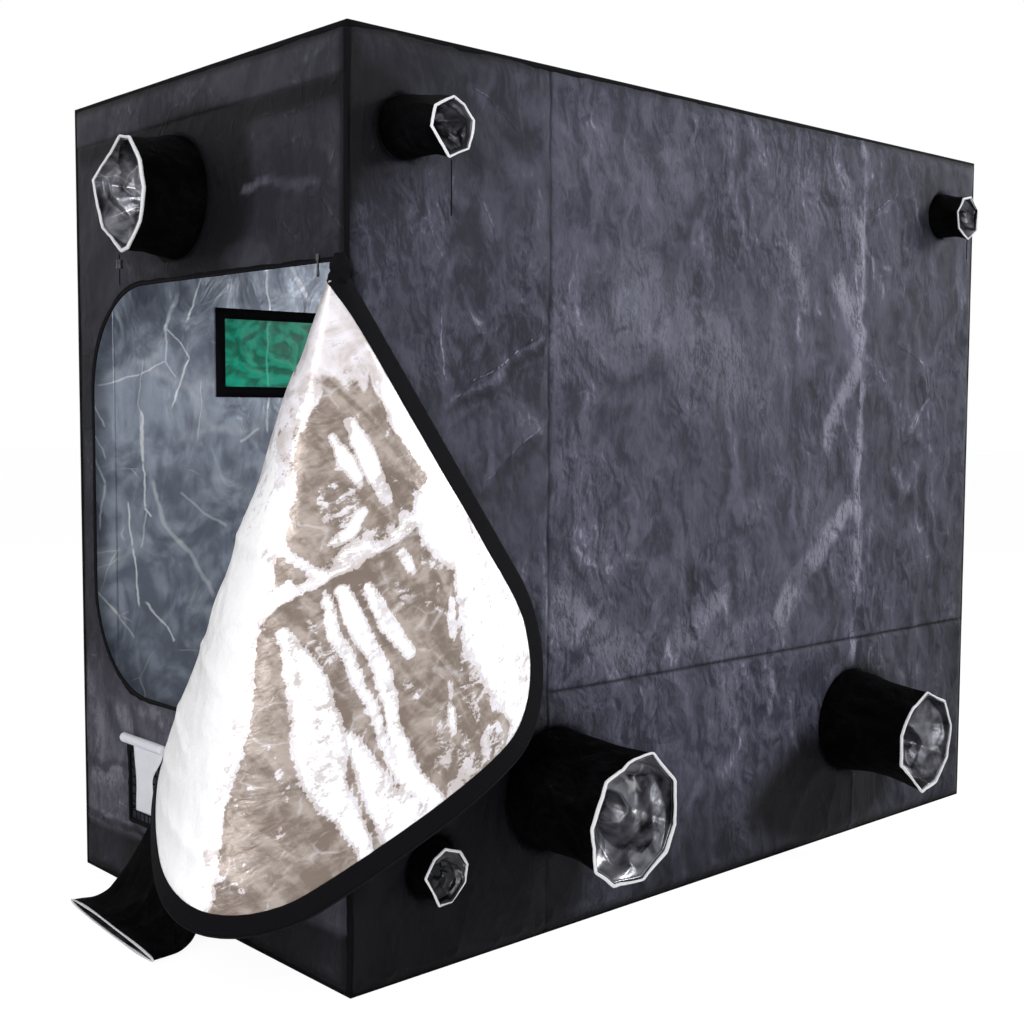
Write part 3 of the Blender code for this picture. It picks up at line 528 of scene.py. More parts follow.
def gridPiece(name, points, finishes, around=False, flip=False, keep=None, flat=None, values=None):
    rows, columns = points.shape[:2]
    index = np.arange(rows * columns).reshape(rows, columns)
    if around:
        index = np.concatenate([index, index[:, :1]], axis=1)
    quads = np.stack([index[:-1, :-1], index[:-1, 1:], index[1:, 1:], index[1:, :-1]], axis=-1)
    quads = quads[keep] if keep is not None else quads.reshape(-1, 4)
    if flip:
        quads = quads[:, ::-1]
    used, quads = np.unique(quads, return_inverse=True)
    quads = quads.reshape(-1, 4)
    mesh = bpy.data.meshes.new(name)
    mesh.from_pydata(points.reshape(-1, 3)[used].tolist(), [], quads.tolist())
    mesh.shade_smooth()
    if flat is not None:
        layer = mesh.uv_layers.new(name="flat")
        layer.data.foreach_set("uv", flat.reshape(-1, 2)[used][quads.ravel()].astype(np.float32).ravel())
    for title, value in (values or {}).items():
        layer = mesh.attributes.new(title, "FLOAT", "POINT")
        layer.data.foreach_set("value", value.ravel()[used].astype(np.float32))
    for finish in finishes:
        mesh.materials.append(finish)
    piece = bpy.data.objects.new(name, mesh)
    bpy.context.scene.collection.objects.link(piece)
    return piece


def merged(piece, distance=0.00002):
    # joins points that lie together, and turns all faces outwards
    cells = bmesh.new()
    cells.from_mesh(piece.data)
    bmesh.ops.remove_doubles(cells, verts=cells.verts, dist=distance)
    bmesh.ops.recalc_face_normals(cells, faces=cells.faces)
    cells.to_mesh(piece.data)
    cells.free()
    return piece


def joinedPiece(name, pieces):
    # one piece from several whose places are in their meshes already
    cells = bmesh.new()
    for piece in pieces:
        cells.from_mesh(piece.data)
    mesh = bpy.data.meshes.new(name)
    cells.to_mesh(mesh)
    cells.free()
    for finish in pieces[0].data.materials:
        mesh.materials.append(finish)
    for piece in pieces:
        bpy.data.objects.remove(piece, do_unlink=True)
    whole = bpy.data.objects.new(name, mesh)
    bpy.context.scene.collection.objects.link(whole)
    return whole


def facedUp(piece, index):
    # its faces turned over if the one with this number looks down
    if piece.data.polygons[index].normal.z < 0:
        piece.data.flip_normals()


def thicken(piece, thick, offset=-1.0, linedInside=True):
    shell = piece.modifiers.new("cloth", "SOLIDIFY")
    shell.thickness = thick
    shell.offset = offset
    if linedInside:
        shell.material_offset = 1
    return piece


def swept(path, side, up, profile, closed=False):
    # a profile of (along side, along up) points carried along a path of points
    profile = np.asarray(profile, float)
    grid = (path[:, None] + profile[None, :, :1] * side[:, None] + profile[None, :, 1:] * up[:, None])
    return np.concatenate([grid, grid[:1]]) if closed else grid


def capped(grid):
    # an open sweep with its two ends drawn in to their middles
    first = np.repeat(grid[:1].mean(axis=1, keepdims=True), grid.shape[1], axis=1)
    last = np.repeat(grid[-1:].mean(axis=1, keepdims=True), grid.shape[1], axis=1)
    return np.concatenate([first, grid, last])


def fullTurn(count):
    return 2 * math.pi * np.arange(count) / count


def roundProfile(radius, sides, squash=1.0):
    turns = fullTurn(sides)
    return np.stack([radius * np.cos(turns), radius * squash * np.sin(turns)], axis=-1)


def resampled(points, step):
    # the same line with even steps
    points = np.asarray(points, float)
    lengths = np.concatenate([[0], np.cumsum(np.linalg.norm(np.diff(points, axis=0), axis=1))])
    count = max(int(lengths[-1] / step), 2)
    where = np.linspace(0, lengths[-1], count + 1)
    return np.stack([np.interp(where, lengths, points[:, axis]) for axis in range(points.shape[1])], axis=-1)


# The tent's walls: an outer plane each, with two directions in it and one outwards

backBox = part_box("back_wall")
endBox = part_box("end_wall")
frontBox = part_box("front_wall")
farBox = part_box("far_end_wall")
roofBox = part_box("roof_panel")
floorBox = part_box("floor_panel")
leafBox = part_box("front_door_near")
halfLength = backBox[1].x
halfWidth = frontBox[1].y
tentTop = roofBox[1].z
lengthSpan = (-halfLength, halfLength)
widthSpan = (-halfWidth, halfWidth)
heightSpan = (0, tentTop)
walls = {
    "back": ((0, backBox[0].y, 0), (1, 0, 0), (0, 0, 1), (0, -1, 0)),
    "front": ((0, frontBox[1].y, 0), (1, 0, 0), (0, 0, 1), (0, 1, 0)),
    "leaf": ((0, leafBox[1].y, 0), (1, 0, 0), (0, 0, 1), (0, 1, 0)),
    "end": ((endBox[0].x, 0, 0), (0, 1, 0), (0, 0, 1), (-1, 0, 0)),
    "farEnd": ((farBox[1].x, 0, 0), (0, 1, 0), (0, 0, 1), (1, 0, 0)),
    "roof": ((0, 0, roofBox[1].z), (1, 0, 0), (0, 1, 0), (0, 0, 1)),
    "floor": ((0, 0, floorBox[0].z), (1, 0, 0), (0, 1, 0), (0, 0, -1)),
}
walls = {name: tuple(np.array(part, float) for part in parts) for name, parts in walls.items()}


def onWall(wall, u, v, out):
    # the point at u and v in the wall's plane, standing out from it
    start, first, second, outward = walls[wall]
    return (start + np.asarray(u)[..., None] * first + np.asarray(v)[..., None] * second
            + np.asarray(out)[..., None] * outward)


def facesIn(wall):
    _, first, second, outward = walls[wall]
    return float(np.dot(np.cross(first, second), outward)) < 0


# Openings, in each wall's own plane; a distance is below zero inside the opening

endDoorway = {"hinge": -0.55, "far": 0.52, "low": 0.5, "high": 1.53, "corner": 0.27}
vent = {"left": 0.2, "right": 0.35, "low": 0.177, "high": 0.355, "border": 0.014}
frontDoorways = {
    "near": {"hinge": -1.1, "far": -0.08, "low": 0.14, "high": 1.8, "corner": 0.22},
    "far": {"hinge": 1.1, "far": 0.08, "low": 0.14, "high": 1.8, "corner": 0.22},
}
window = {"left": -0.762, "right": -0.438, "low": 1.288, "high": 1.484, "border": 0.028}
windowArea = 0.324 * 0.196
sleeves = {
    "sleeve_end_high": {"wall": "end", "at": (0.08, 1.72), "radius": 0.14, "out": 0.15, "sag": 0.005},
    "sleeve_back_high_near": {"wall": "back", "at": (-1.06, 1.806), "radius": 0.0625, "out": 0.158, "sag": 0.02},
    "sleeve_back_high_far": {"wall": "back", "at": (1.01, 1.82), "radius": 0.0625, "out": 0.095, "sag": 0.012},
    "sleeve_back_low_near": {"wall": "back", "at": (-0.62, 0.345), "radius": 0.14, "out": 0.262, "sag": 0.02},
    "sleeve_back_low_far": {"wall": "back", "at": (0.58, 0.335), "radius": 0.14, "out": 0.26, "sag": 0.02},
    "sleeve_back_cable": {"wall": "back", "at": (-0.986, 0.235), "radius": 0.0625, "out": 0.057, "sag": 0.008},
}
floorSleeve = {"at": (0.03, 0.192), "radius": 0.15, "out": 0.2, "length": 0.262, "flatHalf": 0.242,
               "mouthHalf": 0.012, "slant": 0.02, "drift": 0.045, "clear": 0.0005}


def doorDistance(u, v, door):
    # distance to a box whose two far corners are round
    middle = (door["hinge"] + door["far"]) / 2
    side = 1 if door["far"] > door["hinge"] else -1
    corner = np.where((u - middle) * side > 0, door["corner"], 0)
    across = np.abs(u - middle) - abs(door["far"] - door["hinge"]) / 2 + corner
    along = np.abs(v - (door["low"] + door["high"]) / 2) - (door["high"] - door["low"]) / 2 + corner
    outside = np.hypot(np.maximum(across, 0), np.maximum(along, 0))
    return np.minimum(np.maximum(across, along), 0) + outside - corner


def boxDistance(u, v, box):
    return doorDistance(u, v, {"hinge": box["left"], "far": box["right"], "low": box["low"],
                               "high": box["high"], "corner": 0})


def portDistance(u, v, port):
    return np.hypot(u - port["at"][0], v - port["at"][1]) - port["radius"]


def wallPorts(wall):
    return [port for port in sleeves.values() if port["wall"] == wall]


def endMaterial(u, v):
    # how far a point of the end wall is from the nearest opening
    gaps = [portDistance(u, v, port) for port in wallPorts("end")]
    gaps += [portDistance(u, v, floorSleeve), doorDistance(u, v, endDoorway), boxDistance(u, v, vent)]
    return np.minimum.reduce(gaps)


def backMaterial(u, v):
    return np.minimum.reduce([portDistance(u, v, port) for port in wallPorts("back")])


def frontMaterial(u, v):
    return np.minimum.reduce([doorDistance(u, v, door) for door in frontDoorways.values()])


# Relief of each wall: how far the cloth stands out, never less than zero

relief = {"rimFade": 0.035, "portFade": 0.02, "pucker": 0.004, "puckerReach": 0.05}


def puckers(u, v, ports):
    # radial pleats round each port, dying out with distance
    total = 0
    for port in ports:
        turn = np.arctan2(v - port["at"][1], u - port["at"][0])
        away = np.maximum(portDistance(u, v, port), 0)
        wave = lattice(turn / (2 * math.pi) * 12, away * 4, 41, around=12)
        total = total + relief["pucker"] * wave * np.exp(-away / relief["puckerReach"])
    return total


def rimDistance(u, v, across, up):
    # how far inside a rectangle each point lies
    return np.minimum(np.minimum(u - across[0], across[1] - u), np.minimum(v - up[0], up[1] - v))


def faded(u, v, height, across, up, gap=None):
    # drawn down to the plane at the wall's rim and at its openings
    fade = smoothStep(rimDistance(u, v, across, up), 0, relief["rimFade"])
    if gap is not None:
        fade = fade * smoothStep(gap, 0, relief["portFade"])
    return np.maximum(height, 0) * fade


backFolds = {"left": -0.64, "right": 0.59, "seam": 0.572}
sliderPaths = {"aside": 0.062, "middle": 0.97, "reach": 0.8}


def backRelief(u, v):
    # the long wall: upright wrinkles, slanted ones in its first third, two pressed folds and a seam
    leftFold, rightFold, seam = backFolds["left"], backFolds["right"], backFolds["seam"]
    upright = layered(u / 0.07 + 0.5 * lattice(u / 0.3, v / 0.3, 5), v / 0.13, 11, 3)
    fine = layered(u / 0.03, v / 0.05, 12, 2)
    bulge = lattice(u / 0.6 + 0.3, v / 0.7, 13)
    inLeft = smoothStep(leftFold - u, -0.02, 0.02)
    inRight = smoothStep(u - rightFold, -0.02, 0.02)
    slanted = ridges(u, v, -24, 0.07, 0.3, 14, 4) + 0.7 * ridges(u, v, 14, 0.09, 0.35, 15, 5)
    slanted = slanted + 0.8 * ridges(u, v, -58, 0.16, 0.4, 16, 8)
    crossed = ridges(u, v, 30, 0.1, 0.3, 17, 6) + ridges(u, v, -18, 0.08, 0.3, 18, 5)
    lower = smoothStep(seam - v, -0.01, 0.03)
    loose = ridges(u, v, 8, 0.06, 0.22, 19, 3) + ridges(u, v, -35, 0.12, 0.3, 20, 5)
    height = 0.0055 + 0.0025 * bulge + (0.0032 - 0.0016 * inLeft) * upright + 0.001 * fine
    height = height + 0.006 * slanted * inLeft + 0.0045 * crossed * inRight + 0.004 * loose * lower
    # a pinched pleat slants over the first third
    pleat = (v - 1.33) - 0.62 * (u + 0.72)
    height = height + 0.007 * np.exp(-(pleat / 0.012) ** 2) * smoothStep(0.27 - np.abs(u + 0.9), 0, 0.1)
    height = height - 0.005 * np.exp(-np.abs(u - leftFold) / 0.006) + 0.002 * smoothStep(u - leftFold, 0, 0.1)
    crest = 0.6 + 0.4 * lattice(u * 0 + 0.5, v / 0.12, 22)
    height = height + 0.005 * crest * np.exp(-np.abs(u - rightFold) / 0.006)
    height = height - 0.005 * np.exp(-np.abs(v - seam) / 0.005) * smoothStep(u - leftFold, 0, 0.02)
    height = height + puckers(u, v, wallPorts("back"))
    return faded(u, v, height, lengthSpan, heightSpan, backMaterial(u, v))


endFolds = {"topLap": 1.897, "low": (0.29, 0.138)}


def endRelief(u, v):
    # the end wall: calm, with a lap under its top, two folds near the floor and some crumples
    topLap, folds = endFolds["topLap"], endFolds["low"]
    upright = layered(u / 0.07, v / 0.2, 31, 3)
    crumples = ridges(u, v, 50, 0.09, 0.25, 32, 5) + ridges(u, v, -35, 0.12, 0.3, 33, 6)
    bulge = lattice(u / 0.4, v / 0.4, 34)
    low = smoothStep(0.5 - v, 0, 0.1)
    height = 0.003 + 0.0018 * bulge + 0.001 * upright + (0.0012 + 0.0016 * low) * crumples
    height = height + 0.0022 * smoothStep(v - topLap, -0.002, 0.004)
    height = height - 0.002 * np.exp(-np.abs(v - topLap) / 0.006)
    for fold in folds:
        height = height + 0.004 * np.exp(-np.abs(v - fold) / 0.01)
        height = height - 0.003 * np.exp(-np.abs(v - fold + 0.02) / 0.008)
    height = height + puckers(u, v, wallPorts("end") + [floorSleeve])
    return faded(u, v, height, widthSpan, heightSpan, endMaterial(u, v))


def farEndRelief(u, v):
    height = 0.003 + 0.0025 * lattice(u / 0.4, v / 0.5, 51) + 0.0016 * layered(u / 0.06, v / 0.2, 52)
    height = height + 0.0025 * ridges(u, v, 20, 0.12, 0.4, 53, 6)
    height = height - 0.002 * np.exp(-np.abs(v - endFolds["topLap"]) / 0.006)
    return faded(u, v, height, widthSpan, heightSpan)


def frontRelief(u, v):
    height = 0.003 + 0.0016 * layered(u / 0.06, v / 0.18, 61) + 0.002 * ridges(u, v, 25, 0.1, 0.4, 62, 6)
    # drawn flat under the two sliders' paths
    beside = smoothStep(np.abs(np.abs(u) - sliderPaths["aside"]), 0.01, 0.03)
    beyond = smoothStep(np.abs(v - sliderPaths["middle"]) - sliderPaths["reach"], 0, 0.06)
    return faded(u, v, height * (1 - (1 - beside) * (1 - beyond)), lengthSpan, heightSpan, frontMaterial(u, v))


def roofRelief(u, v):
    height = -0.003 * np.cos(u * math.pi / halfLength) ** 2 + 0.0009 * layered(u / 0.12, v / 0.1, 71)
    return height * smoothStep(rimDistance(u, v, lengthSpan, widthSpan), 0, 0.06)


def flatRelief(u, v):
    return np.zeros(np.broadcast(u, v).shape)


def leafRelief(door, seed, calm=None):
    # a door leaf: long creases from its corners, and upright wrinkles; flat in the calm box, which
    # is under the window's frame and cover
    def height(u, v):
        stand = 0.002 + 0.0014 * layered(u / 0.05, v / 0.2, seed)
        stand = stand + 0.0028 * ridges(u, v, 12, 0.13, 0.5, seed + 1, 7)
        stand = stand + 0.0022 * ridges(u, v, -28, 0.2, 0.5, seed + 2, 9)
        fade = smoothStep(-doorDistance(u, v, door), 0, 0.05)
        if calm:
            fade = fade * smoothStep(boxDistance(u, v, calm), 0.004, 0.05)
        return np.maximum(stand, 0) * fade
    return height


# How deep in shade the cloth lies, from 0 to 1

def spots(dark, u, v, forms):
    # ellipses added to a shade, strongest in the middle: a strength, a middle and how far it reaches
    for strength, (midU, midV), (wide, tall) in forms:
        dark = dark + strength * (1 - smoothStep(np.hypot((u - midU) / wide, (v - midV) / tall), 0.35, 1.0))
    return dark


def besideLine(x, y, start, end):
    # how far along a straight line each point lies, from 0 to 1, and how far away from it
    run = np.array((end[0] - start[0], end[1] - start[1]))
    share = np.clip(((x - start[0]) * run[0] + (y - start[1]) * run[1]) / (run @ run), 0, 1)
    return share, np.hypot(x - start[0] - share * run[0], y - start[1] - share * run[1])


def strokes(u, v, forms, seed):
    # straight forms with soft sides: a strength, two ends, the half width at each; a little bent
    bentU = u + 0.02 * lattice(u / 0.1, v / 0.1, seed) + 0.008 * lattice(u / 0.04, v / 0.04, seed + 1)
    bentV = v + 0.02 * lattice(u / 0.1, v / 0.1, seed + 2) + 0.008 * lattice(u / 0.04, v / 0.04, seed + 3)
    total = np.zeros(u.shape)
    for strength, start, end, w0, w1 in forms:
        share, away = besideLine(bentU, bentV, start, end)
        half = w0 + share * (w1 - w0)
        total = total + strength * (1 - smoothStep(away, 0.45 * half, 1.25 * half))
    return total


# Where the long wall's folds face the light (below 0) or away from it (above 0)
backForms = [
    (-0.42, (0.55, 0.96), (0.24, 0.67), 0.03, 0.05), (-0.4, (0.575, 1.36), (0.43, 1.13), 0.035, 0.02),
    (-0.45, (0.5, 1.58), (0.585, 1.44), 0.04, 0.045), (-0.3, (0.27, 1.66), (0.34, 1.5), 0.025, 0.02),
    (-0.3, (0.56, 1.78), (0.58, 1.62), 0.025, 0.018), (-0.35, (0.6, 1.3), (0.59, 0.75), 0.016, 0.02),
    (-0.3, (0.59, 0.6), (0.58, 0.46), 0.02, 0.012), (-0.4, (-0.93, 1.245), (-0.67, 1.395), 0.012, 0.014),
    (0.3, (-0.93, 1.22), (-0.66, 1.37), 0.012, 0.012), (-0.25, (-0.85, 1.06), (-0.67, 1.19), 0.012, 0.012),
    (0.25, (-0.85, 1.04), (-0.66, 1.165), 0.012, 0.012), (-0.3, (0.63, 1.78), (0.76, 1.87), 0.009, 0.009),
    (-0.35, (0.61, 1.41), (0.75, 1.29), 0.014, 0.009), (-0.25, (0.78, 1.43), (1.0, 1.34), 0.01, 0.009),
    (-0.5, (0.94, 1.27), (0.87, 1.18), 0.009, 0.016), (-0.35, (0.91, 1.03), (0.92, 0.9), 0.018, 0.012),
    (-0.3, (0.68, 1.03), (0.66, 0.76), 0.02, 0.016), (-0.12, (-0.32, 1.5), (0.0, 1.33), 0.14, 0.1),
    (-0.2, (-0.6, 0.76), (-0.36, 0.62), 0.05, 0.05), (-0.2, (0.0, 0.5), (0.06, 0.36), 0.05, 0.03),
    (-0.3, (0.2, 0.53), (0.21, 0.42), 0.02, 0.012), (-0.22, (-0.16, 0.66), (0.0, 0.74), 0.04, 0.03),
    (0.45, (-0.14, 0.8), (-0.12, 0.66), 0.028, 0.012), (0.35, (-0.42, 1.03), (-0.39, 1.04), 0.02, 0.02),
    (0.22, (-0.56, 0.9), (-0.32, 0.72), 0.035, 0.03), (0.35, (-0.18, 1.67), (-0.12, 1.52), 0.01, 0.012),
    (0.2, (0.22, 1.3), (0.27, 1.05), 0.03, 0.02), (0.25, (0.33, 0.78), (0.52, 0.68), 0.05, 0.06),
    (0.25, (0.46, 1.05), (0.56, 1.2), 0.04, 0.03), (0.3, (0.4, 1.8), (0.62, 1.78), 0.012, 0.012),
    (0.3, (0.42, 1.5), (0.44, 1.38), 0.03, 0.02), (0.3, (0.36, 1.3), (0.42, 1.24), 0.03, 0.02),
    (-0.3, (-1.0, 1.62), (-0.93, 1.52), 0.01, 0.012), (-0.3, (-0.86, 1.72), (-0.8, 1.6), 0.012, 0.009),
    (-0.25, (-0.74, 1.62), (-0.66, 1.52), 0.01, 0.01), (-0.3, (-0.97, 1.44), (-0.95, 1.3), 0.012, 0.01),
    (-0.25, (-0.88, 1.92), (-0.74, 1.84), 0.012, 0.012), (-0.25, (-0.82, 1.5), (-0.7, 1.47), 0.012, 0.009),
    (-0.22, (-0.2, 0.12), (-0.1, 0.25), 0.02, 0.03), (-0.2, (0.1, 0.08), (0.02, 0.2), 0.02, 0.02),
]


backSpots = [
    (0.4, (-1.2, 1.95), (0.6, 0.4)), (0.95, (-1.0, 0.05), (0.6, 0.45)), (0.95, (-0.66, 0.3), (0.34, 0.3)),
    (0.9, (0.46, 0.19), (0.46, 0.22)), (0.85, (0.62, 0.36), (0.22, 0.2)), (0.35, (1.25, 0.3), (0.4, 0.7)),
    (0.2, (1.25, 2.0), (0.5, 0.4)), (0.5, (0.1, 0.0), (1.1, 0.28)), (0.4, (-1.15, 1.8), (0.16, 0.2)),
    (0.35, (0.94, 1.82), (0.12, 0.14)),
]


def backShade(u, v):
    # the first third is darker, most of all at its foot and round the low sleeves
    third = 0.3 * smoothStep(-0.64 - u, -0.02, 0.03) + 0.24 * smoothStep(u - 0.62, -0.02, 0.03)
    third = third + 0.08 * smoothStep(0.57 - v, -0.01, 0.02)
    dark = spots(0, u, v, backSpots)
    dark = dark + 0.5 * (1 - smoothStep(rimDistance(u, v, lengthSpan, heightSpan), 0.004, 0.035))
    dark = dark + 0.75 * np.exp(-((v - backFolds["seam"]) / 0.004) ** 2) * smoothStep(u - backFolds["left"], 0, 0.02)
    dark = dark + 0.6 * np.exp(-((u - backFolds["left"]) / 0.005) ** 2)
    # painted highlight along the right fold's crest, patchy
    foldHighlight = 0.5 + 0.5 * lattice(u / 0.05, v / 0.06, 23)
    wander = 0.012 * lattice(u * 0, v / 0.1, 24)
    dark = dark - 0.6 * foldHighlight * np.exp(-((u - backFolds["right"] + wander) / 0.012) ** 2)
    return np.clip(third + dark + strokes(u, v, backForms, 25) + 0.08 * lattice(u / 0.2, v / 0.2, 21), -0.6, 0.97)


endForms = [
    (0.4, (0.6, 0.3), (0.34, 0.302), 0.016, 0.012), (-0.3, (0.56, 0.268), (0.4, 0.272), 0.026, 0.024),
    (0.6, (0.6, 0.148), (0.24, 0.15), 0.014, 0.012), (-0.3, (0.5, 0.168), (0.26, 0.164), 0.011, 0.011),
    (-0.35, (0.4, 0.47), (0.34, 0.43), 0.03, 0.03), (-0.3, (0.28, 0.48), (0.18, 0.44), 0.02, 0.025),
    (0.4, (0.47, 0.46), (0.4, 0.4), 0.02, 0.03), (0.35, (0.33, 0.48), (0.3, 0.4), 0.014, 0.014),
    (-0.25, (0.56, 0.5), (0.5, 0.34), 0.03, 0.03), (-0.7, (-0.23, 1.716), (-0.32, 1.708), 0.013, 0.01),
    (-0.45, (-0.34, 1.714), (-0.5, 1.7), 0.012, 0.012), (-0.14, (0.2, 1.59), (-0.3, 1.57), 0.03, 0.03),
]


endSpots = [(0.7, (0.0, 1.72), (0.33, 0.27)), (0.6, (0.06, 0.16), (0.4, 0.24))]


def endShade(u, v):
    # dark above the doorway's foot, paler below it
    dark = 0.7 * smoothStep(v, 0.46, 0.66) + 0.93 * smoothStep(0.15 - v, 0, 0.035) - 0.1 * smoothStep(0.5 - v, 0, 0.1)
    dark = spots(dark, u, v, endSpots)
    dark = dark - 0.14 * smoothStep(v, 1.89, 1.91) + 0.4 * np.exp(-((v - 1.875) / 0.022) ** 2)
    dark = dark + 0.5 * (1 - smoothStep(rimDistance(u, v, widthSpan, heightSpan), 0.005, 0.035))
    return np.clip(dark + strokes(u, v, endForms, 37) + 0.08 * lattice(u / 0.2, v / 0.25, 36), -0.6, 0.97)


# Cloth panels

panelGrid = {"cell": 0.0115, "endCell": 0.0095, "roofCell": 0.02, "thick": 0.0012, "inset": 0.0023}


def gridLines(span, cell, fine=()):
    # even steps, with closer ones on both sides of each fold
    even = np.linspace(*span, int((span[1] - span[0]) / cell) + 1)
    near = np.array([-0.013, -0.0085, -0.005, -0.0022, 0, 0.0022, 0.005, 0.0085, 0.013])
    for place in fine:
        even = even[np.abs(even - place) > 0.016]
        even = np.concatenate([even, place + near])
    return np.sort(even)


def clothPanel(name, wall, across, up, finishes, height, material=None, cell=panelGrid["cell"], shade=None,
               folds=((), ())):
    # a grid over the panel; faces whose middle lies in an opening are left out, and the corners
    # along the opening are drawn down the slope of the distance until they lie on its edge
    u, v = np.meshgrid(gridLines(across, cell, folds[0]), gridLines(up, cell, folds[1]))
    keep = None
    if material is not None:
        middleU = (u[:-1, :-1] + u[1:, 1:]) / 2
        middleV = (v[:-1, :-1] + v[1:, 1:]) / 2
        keep = material(middleU, middleV) > 0
        kept = np.zeros(u.shape)
        there = np.zeros(u.shape)
        for rows in (slice(None, -1), slice(1, None)):
            for columns in (slice(None, -1), slice(1, None)):
                kept[rows, columns] += keep
                there[rows, columns] += 1
        edge = (kept > 0) & (kept < there)
        step = cell / 20
        for _ in range(4):
            gap = material(u, v)
            slopeU = (material(u + step, v) - material(u - step, v)) / (2 * step)
            slopeV = (material(u, v + step) - material(u, v - step)) / (2 * step)
            steep = np.maximum(slopeU ** 2 + slopeV ** 2, 0.25)
            u = u - np.where(edge, gap * slopeU / steep, 0)
            v = v - np.where(edge, gap * slopeV / steep, 0)
    values = {"shade": shade(u, v)} if shade else None
    piece = gridPiece(name, onWall(wall, u, v, height(u, v)), finishes, flip=facesIn(wall), keep=keep,
                      values=values)
    return thicken(piece, panelGrid["thick"])


def sheetArea(wide, tall, ports=(), doors=(), boxes=()):
    area = wide * tall
    for port in ports:
        area -= math.pi * port["radius"] ** 2
    for door in doors:
        area -= doorArea(door)
    for box in boxes:
        area -= (box["right"] - box["left"]) * (box["high"] - box["low"])
    return area


def doorArea(door):
    # a rectangle less what two round corners take off it
    return abs(door["far"] - door["hinge"]) * (door["high"] - door["low"]) - (2 - math.pi / 2) * door["corner"] ** 2


def makeShell():
    wide, deep = lengthSpan, widthSpan
    tall = (panelGrid["inset"], tentTop - panelGrid["inset"])
    lined = [longWallCloth, silverLining]
    linedEnd = [endWallCloth, silverLining]
    back = clothPanel("back_wall_cloth", "back", wide, tall, lined, backRelief, backMaterial, shade=backShade,
                      folds=((backFolds["left"], backFolds["right"]), (backFolds["seam"],)))
    end = clothPanel("end_wall_cloth", "end", deep, tall, linedEnd, endRelief, endMaterial,
                     panelGrid["endCell"], endShade, ((), (endFolds["topLap"], *endFolds["low"])))
    farEnd = clothPanel("far_end_wall_cloth", "farEnd", deep, tall, linedEnd, farEndRelief, shade=endShade)
    front = clothPanel("front_wall_cloth", "front", wide, tall, lined, frontRelief, frontMaterial)
    roof = clothPanel("roof_cloth", "roof", wide, deep, lined, roofRelief, cell=panelGrid["roofCell"])
    floor = clothPanel("floor_cloth", "floor", wide, deep, lined, flatRelief, cell=panelGrid["roofCell"])
    length, width = 2 * halfLength, 2 * halfWidth
    sizes = {
        "back_wall": (back, length, tentTop, sheetArea(length, tentTop, wallPorts("back"))),
        "end_wall": (end, width, tentTop, sheetArea(width, tentTop, wallPorts("end") + [floorSleeve],
                                                    [endDoorway], [vent])),
        "far_end_wall": (farEnd, width, tentTop, None),
        "front_wall": (front, length, tentTop, sheetArea(length, tentTop, doors=frontDoorways.values())),
        "roof_panel": (roof, length, width, None),
        "floor_panel": (floor, length, width, None),
    }
    for node, (piece, across, along, area) in sizes.items():
        settle("root", "black_cloth", piece)
        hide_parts(node)


makeShell()
print("shell panels made")


# Binding folded over the tent's twelve edges

binding = {"width": 0.013, "thick": 0.0013, "gap": 0.0001, "foot": 0.003, "clear": 0.0015, "step": 0.03,
           "wobble": 0.12}


def bindingProfile():
    # an L that wraps the edge, round on the outside; its arms lie on the two faces
    wide, thick, gap = binding["width"], binding["thick"], binding["gap"]
    turns = np.radians(np.linspace(180, 270, 5))
    corner = np.stack([thick * np.cos(turns), thick * np.sin(turns)], axis=-1)
    return np.concatenate([[(-thick, wide), (-thick, wide / 2)], corner, [(wide / 2, -thick), (wide, -thick),
                           (wide, gap), (wide / 2, gap), (gap, gap), (gap, wide / 2), (gap, wide)]])


def makeBinding():
    corner = np.array((halfLength, halfWidth, tentTop))
    strips = []
    profile = bindingProfile()
    for axis in range(3):
        others = [other for other in range(3) if other != axis]
        for first in (0, 1):
            for second in (0, 1):
                ends = np.zeros((2, 3))
                ends[:, axis] = (-corner[axis], corner[axis]) if axis < 2 else (binding["foot"], tentTop)
                inward = []
                for other, far in zip(others, (first, second)):
                    low = binding["clear"] if other == 2 else -corner[other]
                    ends[:, other] = corner[other] if far else low
                    direction = np.zeros(3)
                    direction[other] = -1 if far else 1
                    inward.append(direction)
                path = resampled(ends, binding["step"])
                noise = lattice(np.arange(len(path)) * 0.4, np.zeros(len(path)), 80 + axis + 3 * first)
                scale = (1 + binding["wobble"] * noise)[:, None, None]
                side = np.broadcast_to(inward[0], path.shape)
                up = np.broadcast_to(inward[1], path.shape)
                grid = path[:, None] + (swept(path, side, up, profile) - path[:, None]) * scale
                strips.append(merged(gridPiece("strip", capped(grid), [blackBinding], around=True)))
    piece = joinedPiece("edge_binding", strips)
    piece.data.shade_smooth()
    settle("root", "black_cloth", piece)


makeBinding()


# Tapes, zips and piping along outlines

def doorPath(door, step, grow=0.0):
    # from the hinge side's top round the two far corners to its foot
    side = 1 if door["far"] > door["hinge"] else -1
    corner = door["corner"] + grow
    middle = door["far"] - side * door["corner"]
    turns = np.radians(np.linspace(90, 0, 16))
    upper = np.stack([middle + side * corner * np.cos(turns),
                      door["high"] - door["corner"] + corner * np.sin(turns)], axis=-1)
    lower = np.stack([upper[::-1, 0], door["low"] + door["high"] - upper[::-1, 1]], axis=-1)
    start = [(door["hinge"], upper[0, 1])]
    end = [(door["hinge"], lower[-1, 1])]
    return resampled(np.concatenate([start, upper, lower, end]), step)


def tangents(path, closed=False):
    if closed:
        along = np.roll(path, -1, axis=0) - np.roll(path, 1, axis=0)
    else:
        along = np.gradient(path, axis=0)
    return along / np.linalg.norm(along, axis=1, keepdims=True)


tapeLifts = (0.0002, 0.0022)


